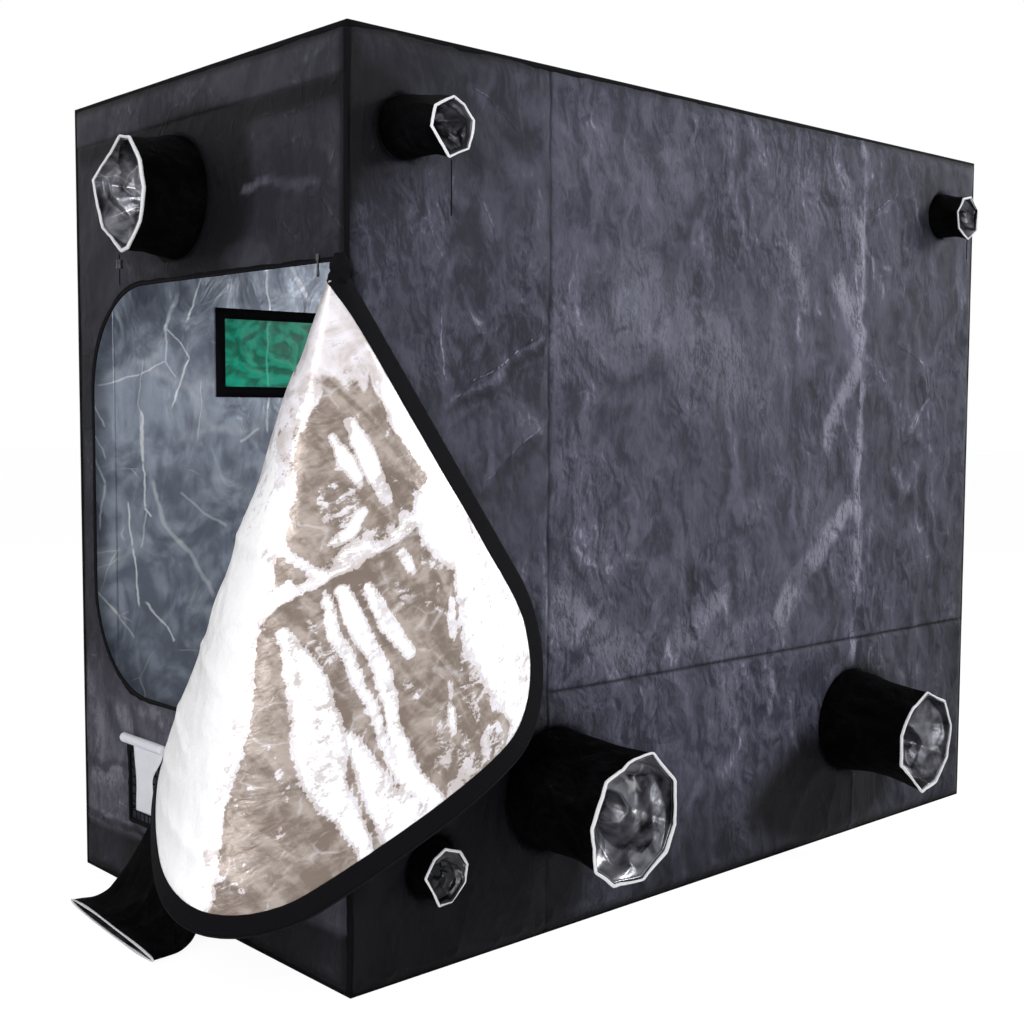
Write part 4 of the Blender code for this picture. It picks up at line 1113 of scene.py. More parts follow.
def tapeProfile(inner, outer, low, high):
    # a flat band between two distances from the path, its edges rounded off a little
    soft = min(0.0012, (high - low) / 2)
    return [(inner, low), (inner, high - soft / 2), (inner + soft, high), (outer - soft, high),
            (outer, high - soft / 2), (outer, low)]


def wallSweep(name, wall, path, profile, finish, lift=0.0, away=0.0):
    # a profile carried along a path in a wall's plane; away and the profile's first place count
    # towards the left of the path
    along = tangents(path)
    _, first, second, outward = walls[wall]
    side = -along[:, 1:] * first + along[:, :1] * second
    up = np.broadcast_to(outward, side.shape)
    grid = swept(onWall(wall, path[:, 0], path[:, 1], lift) + away * side, side, up, profile)
    return merged(gridPiece(name, capped(grid), [finish], around=True))


def frameTape(name, wall, box, border, low, high):
    # a mitred frame of tape: from a little inside a rectangle to one grown by the border
    centre = np.array(((box["left"] + box["right"]) / 2, (box["low"] + box["high"]) / 2))
    half = np.array(((box["right"] - box["left"]) / 2, (box["high"] - box["low"]) / 2))
    signs = np.array([(-1, -1), (1, -1), (1, 1), (-1, 1)])
    profile = [(-0.002, low), (-0.002, high * 0.8), (0.001, high), (border - 0.001, high), (border, high * 0.8),
               (border, low)]
    rings = []
    for away, lift in profile:
        corners = centre + signs * (half + away)
        sides = [np.linspace(corners[i], corners[(i + 1) % 4], 12, endpoint=False) for i in range(4)]
        ring = np.concatenate(sides)
        rings.append(onWall(wall, ring[:, 0], ring[:, 1], lift))
    rings.append(rings[0])
    return merged(gridPiece(name, np.stack(rings), [blackTape], around=True))


zips = {"tape": 0.022, "lift": 0.0016, "coil": 0.0022, "coilSquash": 0.8, "step": 0.012}


def zipPieces(name, wall, path, reach, low, away, lift):
    # the tape lies between two distances from the path, and the coil on it
    tape = wallSweep(name + "_zip_tape", wall, path, tapeProfile(*reach, low, zips["lift"]), blackTape)
    coil = wallSweep(name + "_zip_coil", wall, path, roundProfile(zips["coil"], 8, zips["coilSquash"]), zipCoil,
                     lift, away)
    return tape, coil


def makeZips():
    path = doorPath(endDoorway, zips["step"])
    pieces = zipPieces("end_doorway", "end", path, (-0.003, zips["tape"]), -0.0004, 0.001, 0.0012)
    settle("root", "black_cloth", *pieces)


makeZips()
print("bindings and zips made")


# Duct sleeves: corners of each mouth as (degrees round, share of the radius)

mouths = {
    "sleeve_end_high": [(0, 1.0), (30, 0.99), (63, 1.07), (83, 1.02), (160, 1.02), (225, 0.8), (277, 1.05),
                        (290, 1.08), (326, 0.99)],
    "sleeve_back_high_near": [(20, 0.98), (58, 0.98), (88, 1.08), (140, 0.98), (185, 0.95), (262, 1.06), (318, 1.0)],
    "sleeve_back_high_far": [(25, 1.0), (75, 1.04), (120, 0.98), (170, 1.02), (215, 0.98), (270, 1.04), (325, 1.0)],
    "sleeve_back_low_near": [(26, 1.04), (66, 1.07), (98, 0.95), (132, 0.97), (178, 0.96), (218, 1.08), (245, 1.06),
                             (282, 1.0), (318, 0.97), (345, 0.97)],
    "sleeve_back_low_far": [(12, 0.97), (48, 1.04), (88, 1.03), (125, 0.96), (165, 1.0), (200, 1.02), (262, 1.08),
                            (292, 1.02), (330, 0.95)],
    "sleeve_back_cable": [(15, 1.0), (52, 0.98), (95, 1.03), (128, 0.98), (172, 1.05), (250, 1.06), (285, 1.02),
                          (335, 0.96)],
}
mouthShares = {"sleeve_end_high": 0.89, "sleeve_back_high_near": 0.88, "sleeve_back_high_far": 0.96,
               "sleeve_back_low_near": 1.0, "sleeve_back_low_far": 0.94, "sleeve_back_cable": 0.94}
skinGrid = {"columns": 144, "rows": 46, "thick": 0.0012, "stand": 0.0015, "sewn": 0.08, "rootGap": 0.002}
mouthTrim = {"large": {"piping": 0.0036, "rootTape": 0.016, "lobes": 10},
             "small": {"piping": 0.0036 * 0.72, "rootTape": 0.016 * 0.7, "lobes": 6},
             "floor": {"piping": 0.0026, "rootTape": 0.016}}
throatShape = {"start": 0.955, "end": 0.3, "deep": 0.62, "rows": 40}


def polygonShare(turns, corners):
    # distance to a polygon's straight sides at each angle, over the radius
    angles = np.radians([angle for angle, _ in corners])
    shares = np.array([share for _, share in corners])
    turns = np.mod(turns - angles[0], 2 * math.pi) + angles[0]
    after = np.searchsorted(angles, turns, side="right") % len(corners)
    before = (after - 1) % len(corners)
    x1, y1 = shares[before] * np.cos(angles[before]), shares[before] * np.sin(angles[before])
    x2, y2 = shares[after] * np.cos(angles[after]), shares[after] * np.sin(angles[after])
    return (x1 * y2 - x2 * y1) / ((y2 - y1) * np.cos(turns) - (x2 - x1) * np.sin(turns))


def pastSeam(share):
    # from 0 at the end of the part that the seam holds, to 1 at the mouth
    return np.clip((share - skinGrid["sewn"]) / (1 - skinGrid["sewn"]), 0, 1)


def sleeveLine(sleeve, share):
    # the middle of the sleeve at shares of its way out, and its three directions
    start, first, second, outward = walls[sleeve["wall"]]
    free = pastSeam(share)
    side = -first if sleeve["wall"] == "end" else first
    centre = start + sleeve["at"][0] * first + sleeve["at"][1] * second
    centre = centre + np.multiply.outer(share * sleeve["out"], outward)
    centre = centre - np.multiply.outer(sleeve["sag"] * free ** 2, second)
    return centre, side, second, outward, free


def mouthPiping(name, rim, outwards, forward, size, profile, lowest=None):
    # white piping round a sleeve's mouth, its size a little uneven
    tube = rim[:, None] + size[:, None, None] * (
        profile[None, :, :1] * outwards[:, None] + profile[None, :, 1:] * forward[:, None])
    if lowest is not None:
        tube[..., 2] = np.maximum(tube[..., 2], lowest)
    return merged(gridPiece(name + "_piping", np.concatenate([tube, tube[:1]]), [whitePiping], around=True))


def rootTape(name, wall, port, wide):
    # tape stitched round a sleeve's root, on the wall
    _, first, second, outward = walls[wall]
    turns = fullTurn(skinGrid["columns"])
    place = (port["radius"] + skinGrid["rootGap"]) * np.stack([np.cos(turns), np.sin(turns)], axis=-1)
    place = np.array(port["at"]) + place
    radial = np.cos(turns)[:, None] * first + np.sin(turns)[:, None] * second
    ring = swept(onWall(wall, place[:, 0], place[:, 1], 0.0), radial, np.broadcast_to(outward, radial.shape),
                 tapeProfile(0, wide, *tapeLifts), closed=True)
    return merged(gridPiece(name + "_root_tape", ring, [blackTape], around=True))


def makeSleeve(name, sleeve, seed):
    trim = mouthTrim["large" if sleeve["radius"] > 0.1 else "small"]
    turns = fullTurn(skinGrid["columns"])
    share = np.linspace(0, 1, skinGrid["rows"])
    centre, side, up, outward, free = sleeveLine(sleeve, share)
    angle, rise = np.meshgrid(turns / (2 * math.pi), share)
    open_ = rise ** 2.2
    corners = polygonShare(turns, mouths[name]) * mouthShares[name]
    lobes = trim["lobes"]
    soft = lattice(angle * lobes, rise * 2.2, seed, around=lobes)
    crumple = layered(angle * 2 * lobes, rise * 5, seed + 1, 3, True, 2 * lobes)
    bell = np.sin(math.pi * rise)
    radius = sleeve["radius"] + skinGrid["stand"]
    radius = radius * (1 - 0.05 * (np.sin(math.pi * free) ** 2)[:, None])
    radius = radius * (1 + (corners[None] - 1) * open_ + (0.03 * soft + 0.022 * crumple) * np.minimum(1, 3 * rise))
    radius = radius * (1 - 0.008 * bell * np.cos(angle * 2 * math.pi * 3 + seed))
    around = np.cos(turns)[:, None] * side + np.sin(turns)[:, None] * up
    points = centre[:, None] + radius[..., None] * around[None]
    points = points + outward * (0.006 * (lattice(angle * 5, rise * 0 + 3.5, seed + 2, around=5)) * open_)[..., None]
    probe = np.cross(points[1, 0] - points[0, 0], points[0, 1] - points[0, 0])
    flip = float(np.dot(probe, around[0])) > 0
    skin = gridPiece(name + "_skin", points, [sleeveCloth, sleeveLining], around=True, flip=flip)
    thicken(skin, skinGrid["thick"])
    rim = points[-1]
    along = tangents(rim, closed=True)
    outwards = around - (around * along).sum(axis=1, keepdims=True) * along
    outwards /= np.linalg.norm(outwards, axis=1, keepdims=True)
    forward = np.cross(along, outwards)
    size = trim["piping"] * (1 + 0.25 * lattice(turns / (2 * math.pi) * 9, turns * 0, seed + 5, around=9))
    piping = mouthPiping(name, rim, outwards, forward, size, roundProfile(1.0, 10, 1.15))
    # the lining inside narrows to a loose throat with flat folds
    deepShare = np.linspace(0, 1, throatShape["rows"])
    back = 1 - throatShape["deep"] * deepShare
    middle, _, _, _, _ = sleeveLine(sleeve, back)
    lobe, depth = np.meshgrid(turns / (2 * math.pi), deepShare)
    mouthRadius = np.linalg.norm(rim - centre[-1], axis=1)
    narrow = throatShape["start"] + (throatShape["end"] - throatShape["start"]) * smoothStep(depth, 0.02, 1.0)
    folds = lattice(lobe * 7 + 1.3 * depth, depth * 3.2, seed + 8, True, 7)
    finer = lattice(lobe * 16, depth * 6, seed + 9, True, 16)
    fade = smoothStep(depth, 0.0, 0.16)
    inner = mouthRadius[None] * (narrow + (0.2 * folds + 0.06 * finer) * fade)
    row = back * (skinGrid["rows"] - 1)
    lower = np.minimum(row.astype(int), skinGrid["rows"] - 2)
    part = (row - lower)[:, None]
    inner = np.minimum(inner, 0.95 * (radius[lower] * (1 - part) + radius[lower + 1] * part))
    throat = middle[:, None] + inner[..., None] * around[None]
    slide = lattice(lobe * 7 + 0.5, depth * 3.2 + 0.3, seed + 10, True, 7) * fade
    throat = throat + outward * (0.16 * sleeve["radius"] * slide)[..., None]
    # the cable sleeve's throat takes the darker lining, as painted shade
    deepFinish = cableLining if name == "sleeve_back_cable" else sleeveLining
    lining = gridPiece(name + "_throat", throat, [deepFinish, deepFinish], around=True, flip=flip)
    thicken(lining, skinGrid["thick"], linedInside=False)
    tape = rootTape(name, sleeve["wall"], sleeve, trim["rootTape"])
    settle("root", "sleeve_cloth", skin, piping, lining, tape)
    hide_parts(name)
    circumference = 2 * math.pi * (sleeve["radius"] + skinGrid["stand"])
    throatLength = throatShape["deep"] * sleeve["out"]


for number, (sleeveName, sleeveSpec) in enumerate(sleeves.items()):
    makeSleeve(sleeveName, sleeveSpec, 200 + 20 * number)


def makeFloorSleeve():
    # a round root that flattens into a wide slot on the floor
    turns = fullTurn(skinGrid["columns"])
    share = np.linspace(0, 1, skinGrid["rows"])
    start, first, second, outward = walls["end"]
    side = -first
    free = pastSeam(share)
    ease = np.sin(free * math.pi / 2)
    root = floorSleeve["radius"] + skinGrid["stand"]
    halfWide = root + (floorSleeve["flatHalf"] - root) * ease
    halfHigh = root + (floorSleeve["mouthHalf"] - root) * np.sin(np.minimum(1.35 * free, 1) * math.pi / 2)
    low = floorSleeve["at"][1] - root
    low = low + (floorSleeve["clear"] - low) * np.minimum(2 * free, 1)
    centre = start + floorSleeve["at"][0] * first + np.multiply.outer(share * floorSleeve["out"], outward)
    centre = centre - np.multiply.outer(floorSleeve["drift"] * ease, side)
    centre[:, 2] = low + halfHigh
    angle, rise = np.meshgrid(turns / (2 * math.pi), share)
    across = halfWide[:, None] * np.cos(turns)
    # the upper skin buckles into long folds, the lower one lies on the floor
    upper = smoothStep(np.sin(turns), 0.1, 0.8)[None] * np.sin(math.pi * np.minimum(rise * 1.1, 1)) ** 0.8
    buckle = 0.012 * ridges(across, rise * floorSleeve["out"], 20, 0.07, 0.3, 401, 3)
    buckle = buckle + 0.009 * layered(across / 0.05, rise * 3, 402, 3, True)
    height = halfHigh[:, None] * np.sin(turns) + upper * (buckle - 0.004)
    wave = 0.004 * lattice(angle * 9, rise * 0 + 1.5, 403, around=9) * rise ** 2
    wave = wave * smoothStep(np.sin(turns), -0.2, 0.5)
    points = centre[:, None] + across[..., None] * side + (height + wave)[..., None] * second
    points[..., 2] = np.maximum(points[..., 2], floorSleeve["clear"])
    points = points + (floorSleeve["slant"] * np.cos(turns) * rise ** 2)[..., None] * outward
    skin = gridPiece("sleeve_end_floor_skin", points, [sleeveCloth, sleeveLining], around=True)
    facedUp(skin, skinGrid["columns"] // 4)
    thicken(skin, skinGrid["thick"])
    rim = points[-1]
    forward = np.broadcast_to(outward, rim.shape)
    outwards = np.cross(tangents(rim, closed=True), forward)
    outwards /= np.linalg.norm(outwards, axis=1, keepdims=True)
    trim = mouthTrim["floor"]
    size = trim["piping"] * (1 + 0.3 * lattice(turns / (2 * math.pi) * 14, turns * 0, 404, around=14))
    piping = mouthPiping("sleeve_end_floor", rim, outwards, forward, size, roundProfile(1.0, 8), 0.0002)
    tape = rootTape("sleeve_end_floor", "end", floorSleeve, trim["rootTape"])
    settle("root", "sleeve_cloth", skin, piping, tape)
    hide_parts("sleeve_end_floor")


makeFloorSleeve()
print("sleeves made")


# Open end door: a cone of cloth hanging from the top of its sewn side. Each ray of the flat panel,
# at an angle from the sewn side, leans out from the wall and sideways by a share of its length

flap = {
    "angles": (0, 9, 18, 27, 36, 46, 56, 67, 78, 90),
    "leanOut": (0, -0.037, -0.015, -0.127, -0.214, -0.239, -0.073, 0.148, 0.336, 0.547),
    "leanSide": (0, 0.128, 0.274, 0.353, 0.231, 0.041, -0.056, -0.134, -0.155, -0.082),
    "top": (-1.23705, -0.61, 1.53), "seam": (0.036, 0.054), "wrapDeg": 46, "width": 1.07, "length": 0.99,
    "corner": 0.27, "root": 0.05, "columns": 250, "rows": 150, "thick": 0.0012, "fold": 0.006, "tape": 0.041,
    "taper": 0.45, "tapeLift": 0.0026, "over": 0.002, "coil": 0.0026,
}
flapOutline = {"hinge": 0.0, "far": flap["width"], "low": 0.0, "high": flap["length"], "corner": flap["corner"]}
# Where the silver faces the light, on the flat panel in metres: a strength, then points along the
# band with its half width at each
litBands = [
    (1.35, (0.10, 0.11, 0.06), (0.26, 0.30, 0.045), (0.38, 0.42, 0.06), (0.5, 0.55, 0.06), (0.62, 0.68, 0.065),
     (0.76, 0.83, 0.07), (0.86, 0.95, 0.075)),
    (1.0, (0.52, 0.52, 0.022), (0.68, 0.66, 0.04), (0.8, 0.78, 0.03), (0.93, 0.88, 0.03)),
    (1.35, (0.04, 0.12, 0.05), (0.16, 0.33, 0.08), (0.3, 0.48, 0.1), (0.42, 0.63, 0.11), (0.54, 0.78, 0.13),
     (0.66, 0.95, 0.15)),
    (0.66, (0.02, 0.01, 0.06), (0.16, 0.1, 0.075), (0.22, 0.17, 0.05)),
    (1.0, (0.24, 0.04, 0.03), (0.36, 0.05, 0.05), (0.5, 0.03, 0.045), (0.56, 0.09, 0.08), (0.68, 0.07, 0.085),
     (0.8, 0.1, 0.11), (0.93, 0.11, 0.12), (1.03, 0.2, 0.045), (1.06, 0.28, 0.015)),
    (1.0, (0.585, 0.475, 0.008), (0.68, 0.495, 0.028), (0.785, 0.54, 0.04), (0.86, 0.58, 0.03),
     (0.93, 0.585, 0.022), (1.03, 0.605, 0.008)),
    (0.95, (0.82, 0.5, 0.01), (0.89, 0.51, 0.018), (0.96, 0.525, 0.028), (1.04, 0.52, 0.045)),
    (1.0, (0.56, 0.35, 0.008), (0.64, 0.37, 0.014), (0.73, 0.385, 0.011), (0.84, 0.43, 0.01), (0.95, 0.46, 0.014),
     (1.03, 0.46, 0.02)),
    (0.9, (0.55, 0.375, 0.004), (0.63, 0.41, 0.007), (0.78, 0.44, 0.004), (0.91, 0.47, 0.005), (0.97, 0.48, 0.006)),
    (0.95, (0.58, 0.31, 0.006), (0.67, 0.325, 0.012), (0.74, 0.33, 0.006)),
    (0.9, (0.3, 0.2, 0.005), (0.345, 0.205, 0.01), (0.39, 0.21, 0.006)),
    (0.9, (0.29, 0.16, 0.006), (0.37, 0.175, 0.012), (0.45, 0.19, 0.012)),
    (0.85, (0.45, 0.24, 0.005), (0.475, 0.28, 0.008), (0.475, 0.31, 0.005)),
    (0.46, (0.52, 0.48, 0.018), (0.52, 0.36, 0.014), (0.512, 0.27, 0.022), (0.515, 0.19, 0.026)),
    (0.95, (0.44, 0.4, 0.006), (0.48, 0.38, 0.006), (0.525, 0.36, 0.005)),
    (0.85, (0.53, 0.52, 0.02), (0.52, 0.44, 0.012)),
    (0.85, (0.56, 0.23, 0.007), (0.6, 0.23, 0.006)), (0.85, (0.71, 0.2, 0.006), (0.77, 0.23, 0.006)),
    (0.52, (1.0, 0.29, 0.03), (1.04, 0.4, 0.03)), (0.6, (0.84, 0.3, 0.004), (0.92, 0.35, 0.004)),
]
# A pressed fold crosses the panel; it lies in shade on one side
shadeBands = [(0.5, (0.55, 0.49, 0.003), (0.547, 0.3, 0.004), (0.548, 0.19, 0.003)),
              (0.35, (0.5, 0.4, 0.01), (0.44, 0.42, 0.015))]


def splineThrough(knots, values, where):
    # natural cubic spline: the second derivatives solve a three-term system; straight past its ends
    knots, values = np.asarray(knots, float), np.asarray(values, float)
    gaps = np.diff(knots)
    count = len(knots)
    matrix, slopes = np.eye(count), np.zeros(count)
    for i in range(1, count - 1):
        matrix[i, i - 1:i + 2] = (gaps[i - 1], 2 * (gaps[i - 1] + gaps[i]), gaps[i])
        slopes[i] = 6 * ((values[i + 1] - values[i]) / gaps[i] - (values[i] - values[i - 1]) / gaps[i - 1])
    bends = np.linalg.solve(matrix, slopes)
    within = np.clip(where, knots[0], knots[-1])
    cell = np.clip(np.searchsorted(knots, within, side="right") - 1, 0, count - 2)
    gap = gaps[cell]
    left = (within - knots[cell]) / gap
    right = 1 - left
    bow = (right ** 3 - right) * bends[cell] + (left ** 3 - left) * bends[cell + 1]
    inside = right * values[cell] + left * values[cell + 1] + gap ** 2 * bow / 6
    first = (values[1] - values[0]) / gaps[0] - gaps[0] * bends[1] / 6
    last = (values[-1] - values[-2]) / gaps[-1] + gaps[-1] * bends[-2] / 6
    return inside + np.minimum(where - knots[0], 0) * first + np.maximum(where - knots[-1], 0) * last


def flapReach(angle):
    # distance from the panel's top corner to its outline at each angle, found by halving
    low, high = np.zeros_like(angle), np.full_like(angle, 1.6)
    for _ in range(40):
        middle = (low + high) / 2
        inside = doorDistance(middle * np.sin(angle), middle * np.cos(angle), flapOutline) < 1e-6
        low, high = np.where(inside, middle, low), np.where(inside, high, middle)
    return low


def flapBase(across, down):
    # the flat panel's points on the cone of rays, with its gathers and its wrap round the seam
    angle = np.arctan2(across, down)
    reach = np.hypot(across, down)
    degrees = np.degrees(angle)
    leanOut = splineThrough(flap["angles"], flap["leanOut"], degrees)
    leanSide = splineThrough(flap["angles"], flap["leanSide"], degrees)
    ray = np.stack([leanOut, leanSide, -np.sqrt(np.maximum(1 - leanOut ** 2 - leanSide ** 2, 0.01))], axis=-1)
    wrap = smoothStep(1 - degrees / flap["wrapDeg"])
    points = np.array(flap["top"]) + ray * reach[..., None]
    points[..., 0] += flap["seam"][0] * wrap
    points[..., 1] += flap["seam"][1] * wrap
    ahead = degrees + 0.5
    aheadOut = splineThrough(flap["angles"], flap["leanOut"], ahead)
    aheadSide = splineThrough(flap["angles"], flap["leanSide"], ahead)
    foldSide = np.stack([leanSide - aheadSide, aheadOut - leanOut, np.zeros_like(leanOut)], axis=-1)
    foldSide /= np.maximum(np.linalg.norm(foldSide, axis=-1, keepdims=True), 1e-6)
    share = np.minimum(reach / 1.1, 1)
    fold = flap["fold"] * np.sin(18 * angle) * np.sin(2 * angle) ** 2
    return points + foldSide * (fold * share ** 2)[..., None]


def flapNormal(across, down):
    # towards the silver side
    step = 0.002
    alongAcross = flapBase(across + step, down) - flapBase(across - step, down)
    alongDown = flapBase(across, down + step) - flapBase(across, down - step)
    normal = np.cross(alongDown, alongAcross)
    return normal / np.maximum(np.linalg.norm(normal, axis=-1, keepdims=True), 1e-12)


def flapRelief(across, down):
    # crumples of the film: flat triangles large and small, a pressed fold and slanting folds
    rim = np.minimum(-doorDistance(across, down, flapOutline), across)
    fade = smoothStep(rim, 0.015, 0.09) * smoothStep(np.hypot(across, down), 0.08, 0.35)
    facets = layered(across / 0.16, down / 0.12, 301, 4, True)
    soft = layered(across / 0.2, down / 0.25, 302, 2)
    slanting = ridges(across, down, 62, 0.08, 0.45, 303, 3)
    pressed = np.exp(-np.abs(across - 0.535) / 0.01) * smoothStep(down, 0.12, 0.2) * smoothStep(0.52 - down, 0, 0.05)
    streaks = bandStrength(across, down, litBands[5:10])
    return fade * (0.007 * facets + 0.006 * soft + 0.005 * slanting + 0.006 * pressed + 0.004 * streaks)


def bandStrength(across, down, bands):
    # the strongest band at each point; a band fades out past its half width, and its sides wander
    across = across + 0.007 * layered(across / 0.06, down / 0.05, 321, 3)
    down = down + 0.007 * layered(across / 0.05, down / 0.06, 325, 3)
    total = np.zeros_like(across)
    for strength, *knots in bands:
        for start, end in zip(knots, knots[1:]):
            share, away = besideLine(across, down, start, end)
            half = start[2] + share * (end[2] - start[2])
            total = np.maximum(total, strength * (1 - smoothStep(away - half, -0.2 * half, 0.2 * half + 0.006)))
    return total


def flapFacing(across, down):
    # the bands, less the folds in shade, and what the crumples themselves add where they slope
    step = 0.004
    slope = flapRelief(across + step, down - step) - flapRelief(across - step, down + step)
    reach = np.hypot(across, down)
    left = bandStrength(across, down, litBands[:4]) * (0.42 + 0.58 * smoothStep(reach, 0.36, 0.66))
    lit = np.maximum(left, bandStrength(across, down, litBands[4:])) - bandStrength(across, down, shadeBands)
    lit = 0.5 + (lit - 0.5) * smoothStep(reach + 0.05 * layered(across / 0.05, down / 0.05, 331, 3), 0.2, 0.3)
    return np.clip(lit + np.clip(2.6 * slope / (2 * step), -0.25, 0.25), 0, 1.5)


def flapTape(name, profile, finish):
    # a profile carried along the door's free edge, from its top corner to its foot
    path = doorPath(flapOutline, 0.01)
    path = path[path[:, 0] > 0.012]
    along = tangents(path)
    # the outline runs from the high side down to the low one, so the panel lies to its right
    inward = np.stack([along[:, 1], -along[:, 0]], axis=-1)
    profile = np.asarray(profile, float)
    narrow = 1 - flap["taper"] * smoothStep(path[:, 0], 0.98, 0.7) * smoothStep(path[:, 1], 0.3, 0.1)
    flat = path[:, None] + profile[None, :, :1] * (inward * narrow[:, None])[:, None]
    across, down = flat[..., 0], flap["length"] - flat[..., 1]
    grid = flapBase(across, down) + profile[None, :, 1:] * flapNormal(across, down)
    return merged(gridPiece(name, capped(grid), [finish], around=True))


def makeFlap():
    angles = np.linspace(0, math.pi / 2, flap["columns"] + 1)
    shares = np.linspace(0, 1, flap["rows"] + 1)[:, None]
    reach = flap["root"] + shares * (flapReach(angles) - flap["root"])
    across, down = reach * np.sin(angles), reach * np.cos(angles)
    points = flapBase(across, down) + flapNormal(across, down) * flapRelief(across, down)[..., None]
    door = gridPiece("end_door_cloth", points, [doorLining, longWallCloth], flat=np.stack([across, down], axis=-1),
                     values={"facing": flapFacing(across, down)}, flip=True)
    thicken(door, flap["thick"], 0.0)
    # closely spaced points, so that the tape bends with the cloth
    lift = flap["tapeLift"]
    steps = np.linspace(flap["tape"], 0.004, 10)
    wrap = [(step, lift) for step in steps] + [(-flap["over"], lift * 0.5), (-flap["over"], -lift * 0.5)]
    tape = flapTape("end_door_zip_tape", wrap + [(step, -lift) for step in steps[::-1]], blackTape)
    coil = flapTape("end_door_zip_coil", roundProfile(flap["coil"], 8) - np.array((flap["over"], 0)), zipCoil)
    # the tape's end and the cloth's corner are bunched together at the top
    turns, rise = np.meshgrid(fullTurn(40), np.linspace(0.02, math.pi - 0.02, 30))
    folds = lattice(turns / (2 * math.pi) * 9 + rise * 0.6, rise * 1.2, 311, around=9)
    size = 1 + 0.22 * folds + 0.12 * lattice(turns / (2 * math.pi) * 18, rise * 4, 312, True, 18)
    bunch = np.array((0.019, 0.024, 0.034)) * size[..., None] * np.stack(
        [np.sin(rise) * np.cos(turns), np.sin(rise) * np.sin(turns), np.cos(rise)], axis=-1)
    bunch[..., 2] = np.minimum(bunch[..., 2], 0.03)
    centre = np.array(flap["top"]) + np.array((0.012, 0.004, -0.022))
    gather = merged(gridPiece("end_door_gather", centre + bunch, [blackTape], around=True))
    settle("end_door", "silver_lining", door)
    settle("end_door", "black_cloth", tape, coil, gather)
    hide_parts("end_door_flap")
    doorArea(flapOutline)


makeFlap()
print("end door made")


# Front doors, their window and its cover

leafLap = 0.012
leafSeeds = {"near": 500, "far": 520}


def makeFrontDoors():
    lap = leafLap
    low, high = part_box("window_cover")
    calm = {"left": low.x, "right": high.x, "low": low.z, "high": window["high"] + window["border"]}
    for label, opening in frontDoorways.items():
        hasWindow = label == "near"
        side = 1 if opening["far"] > opening["hinge"] else -1
        door = {"hinge": opening["hinge"] - side * lap, "far": opening["far"] + side * lap,
                "low": opening["low"] - lap, "high": opening["high"] + lap, "corner": opening["corner"] + lap}
        body = f"front_door_{label}"

        def material(u, v, door=door, hasWindow=hasWindow):
            inside = -doorDistance(u, v, door)
            return np.minimum(inside, boxDistance(u, v, window)) if hasWindow else inside

        across = (min(door["hinge"], door["far"]), max(door["hinge"], door["far"]))
        height = leafRelief(door, leafSeeds[label], calm if hasWindow else None)
        leaf = clothPanel(f"{body}_cloth", "leaf", across, (door["low"], door["high"]),
                          [longWallCloth, silverLining], height, material)
        area = doorArea(door) - (windowArea if hasWindow else 0)
        path = doorPath(door, zips["step"])
        if side < 0:
            path = path[::-1]
        tape, coil = zipPieces(body, "leaf", path, (-zips["tape"], 0.002), 0.0002, 0.002, -0.0005)
        settle(body, "black_cloth", leaf, tape, coil)
        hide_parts(body)
        across[1] - across[0]
        door["high"] - door["low"]


makeFrontDoors()


windowLayers = {"film": 0.0005, "insideFrame": (-0.0046, -0.0032), "outsideFrame": (0.0001, 0.0006),
                "cover": 0.0006, "stand": 0.0022, "crease": 0.0016}


def makeWindow():
    low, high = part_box("window_film")
    u, v = np.meshgrid(np.linspace(low.x, high.x, 70), np.linspace(low.z, high.z, 50))
    rim = rimDistance(u, v, (low.x, high.x), (low.z, high.z))
    ripple = 0.0016 * layered(u / 0.06, v / 0.1, 601, 3) * smoothStep(rim, 0.015, 0.05)
    points = np.stack([u, (low.y + high.y) / 2 + ripple, v], axis=-1)
    film = gridPiece("window_film_sheet", points, [greenFilm], flip=True)
    thicken(film, windowLayers["film"], 0.0, False)
    inside, outside = (frameTape(f"window_frame_{side}", "leaf", window, window["border"],
                                 *windowLayers[f"{side}Frame"]) for side in ("inside", "outside"))
    settle("front_door_near", "window_film", film)
    settle("front_door_near", "black_cloth", inside, outside)
    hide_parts("window_film")
    low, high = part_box("window_cover")
    u, v = np.meshgrid(np.linspace(low.x, high.x, 90), np.linspace(low.z, high.z, 60))
    hang = (high.z - v) / (high.z - low.z)
    # hanging open, it shows the silver side that faces the window when it is closed; it stands off
    # by less than its hinge's last 2 degrees leave, so it closes clear of the frame
    stand = windowLayers["stand"] * hang * (1 + lattice(u / 0.07, v / 0.2, 602))
    stand = stand + windowLayers["crease"] * hang * ridges(u, v, 30, 0.12, 0.2, 603, 5)
    points = np.stack([u, (low.y + high.y + windowLayers["cover"]) / 2 + stand, v], axis=-1)
    cover = gridPiece("window_cover_cloth", points, [silverLining, endWallCloth], flip=True)
    thicken(cover, windowLayers["cover"])
    settle("window_cover", "black_cloth", cover)
    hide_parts("window_cover")


makeWindow()
print("front doors and window made")


# Low vent: a border, a rolled cover and the strip that hangs from it

ventCover = {"radius": 0.0125, "top": 0.145, "waist": 0.079, "foot": 0.095, "raised": 0.009, "sides": 28,
             "short": 0.034, "pulledIn": 0.033, "aside": (-0.050, -0.026, -0.028), "strip": 0.001}


